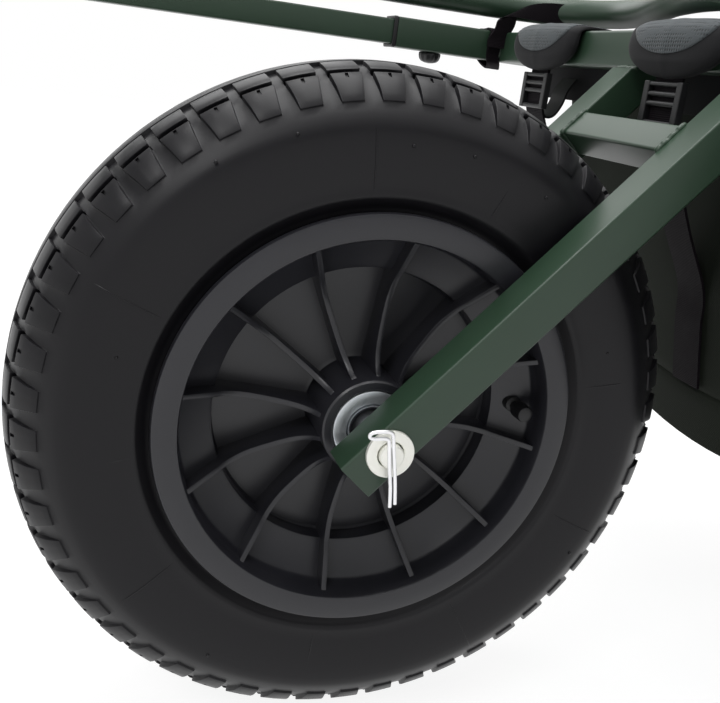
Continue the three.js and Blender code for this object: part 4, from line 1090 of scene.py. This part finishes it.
# The loose end of the far strap, stiff and shiny where it was heat-cut
tail_y = 163
tail_width = 20
tail_thickness = 1.4
tail_line = [(strap_x + 2, tail_y, 160), (strap_x + 6, tail_y, 157), (strap_x + 12, tail_y, 159),
             (strap_x + 17, tail_y, 167), (strap_x + 20, tail_y, 177), (strap_x + 25, tail_y, 185)]
bm = strap(smooth_line(tail_line, 6), sideways, tail_width, tail_thickness)
piece("strap_tail_right", bm, moulded_black, "frame", (), 50)

# Ladder buckles: moulded frames with four bars that the webbing threads round. They hang on the straps where
# the CAD's buckles are.
ladder_side = 15.5
ladder_half = 12
ladder_width = 5
ladder_thickness = 4.4
ladder_round = 0.6
bar_steps = (10.5, 5.2, 0, -10.5)
bar_forward = 2.6
bar_reach = 16
bar_radius = 1.5
for place_name, y in pad_places:
    low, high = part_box(f"ladder_buckle_{place_name}")
    middle = to_row.inverted() @ ((low + high) / 2)
    middle.y = y
    buckle = []
    for sign in (-1, 1):
        ends = [middle + Vector((0, sign * ladder_side, step)) for step in (ladder_half, -ladder_half)]
        buckle.append(strap(ends, sideways, ladder_width, ladder_thickness))
    for step in bar_steps:
        ends = [middle + Vector((-bar_forward, reach, step)) for reach in (-bar_reach, bar_reach)]
        buckle.append(sweep(ends, [bar_radius] * 2, 12))
    piece(f"ladder_buckle_frame_{place_name}", joined(*buckle), moulded_black, "frame",
          [f"ladder_buckle_{place_name}"], 35, ladder_round)
piece("rear_strap_webbing", from_cad("rear_bag_strap"), binding_tape, "frame",
      ["rear_bag_strap"], 35)

# Floor and lamps: a pale matte floor, a large soft lamp overhead, weaker ones from the far side and from the
# front left, and a white surround that shiny parts mirror.
floor_half = 6
floor = bmesh.new()
bmesh.ops.create_grid(floor, x_segments=1, y_segments=1, size=floor_half)
mesh = bpy.data.meshes.new("studio_floor")
floor.to_mesh(mesh)
floor.free()
studio_floor = bpy.data.objects.new("studio_floor", mesh)
bpy.context.collection.objects.link(studio_floor)


def seen_ray(tree):
    """1 for a ray from the camera, off a shiny part or through a clear one, and 0 for any other."""
    path = add(tree, "LightPath")
    seen = add(tree, "Math", {0: path.outputs["Is Camera Ray"], 1: path.outputs["Is Glossy Ray"]},
               operation="ADD")
    return add(tree, "Math", {0: seen, 1: path.outputs["Is Transmission Ray"]}, operation="ADD",
               use_clamp=True)


# Matte paper that looks white to the camera and in shiny parts, a little less near the barrow, where its
# shadow stays.
glow_strength = 1.3
near, far = 0.9, 2.2
near_share, far_share = 0.68, 0.78
paper = bpy.data.materials.new("matte white paper")
paper.use_nodes = True
tree = paper.node_tree
shader = tree.nodes["Principled BSDF"]
shader.inputs["Base Color"].default_value = linear("#F2F2F2")
shader.inputs["Roughness"].default_value = 0.9
glow = add(tree, "Emission", {"Color": (1, 1, 1, 1), "Strength": glow_strength})
place = add(tree, "TexCoord").outputs["Object"]
reach = add(tree, "VectorMath", {0: place}, operation="LENGTH")
white = add(tree, "MapRange", {"Value": reach.outputs["Value"], "From Min": near, "From Max": far,
                               "To Min": near_share, "To Max": far_share})
share = add(tree, "Math", {0: seen_ray(tree), 1: white}, operation="MULTIPLY")
blend = add(tree, "MixShader", {0: share, 1: shader, 2: glow})
tree.links.new(blend.outputs[0], tree.nodes["Material Output"].inputs["Surface"])
mesh.materials.append(paper)

# The surround lights the barrow weakly from all sides
fill_strength = 0.28
world = bpy.data.worlds.new("white surround")
bpy.context.scene.world = world
world.use_nodes = True
tree = world.node_tree
strength = add(tree, "Math", {0: seen_ray(tree), 1: 1 - fill_strength, 2: fill_strength},
               operation="MULTIPLY_ADD")
background = tree.nodes["Background"]
background.inputs["Color"].default_value = (1, 1, 1, 1)
tree.links.new(strength.outputs[0], background.inputs["Strength"])

for name, spot, aim, size, power in (("overhead lamp", (-0.5, 0.1, 2.6), (-0.35, 0, 0.2), 1.8, 52),
                                     ("far lamp", (-0.7, 2.3, 1.7), (-0.4, 0, 0.3), 1.6, 9),
                                     ("front left lamp", (-1.8, -1.3, 2.1), (-0.35, 0, 0.2), 0.8, 16)):
    lamp = bpy.data.lights.new(name, "AREA")
    lamp.size = size
    lamp.energy = power
    holder = bpy.data.objects.new(name, lamp)
    holder.location = spot
    holder.rotation_euler = (Vector(aim) - Vector(spot)).to_track_quat("-Z", "Y").to_euler()
    bpy.context.collection.objects.link(holder)
bpy.context.scene.view_settings.view_transform = "Standard"

# Camera: close to the wheel's left side, a little above it and ahead of it, and rolled. Its place, its turns
# and its lens were worked out from how the photograph shows the rim, the hub and the arms.
eye = axle_middle + Vector((-145.34, -449.75, 168.46)) * mm
yaw = 0.317
pitch = 0.289
roll = 0.131
sensor_width = 36
focal_length = 45.8
nearest = 0.01
forward = Vector((math.sin(yaw) * math.cos(pitch), math.cos(yaw) * math.cos(pitch), -math.sin(pitch)))
level = forward.cross(Vector((0, 0, 1))).normalized()
upright = level.cross(forward)
right = math.cos(roll) * level + math.sin(roll) * upright
up = right.cross(forward)
lens = bpy.data.cameras.new("camera")
lens.sensor_fit = "HORIZONTAL"
lens.sensor_width = sensor_width
lens.lens = focal_length
lens.clip_start = nearest
camera = bpy.data.objects.new("camera", lens)
camera.matrix_world = Matrix.Translation(eye) @ Matrix((right, up, -forward)).transposed().to_4x4()
bpy.context.collection.objects.link(camera)
bpy.context.scene.camera = camera
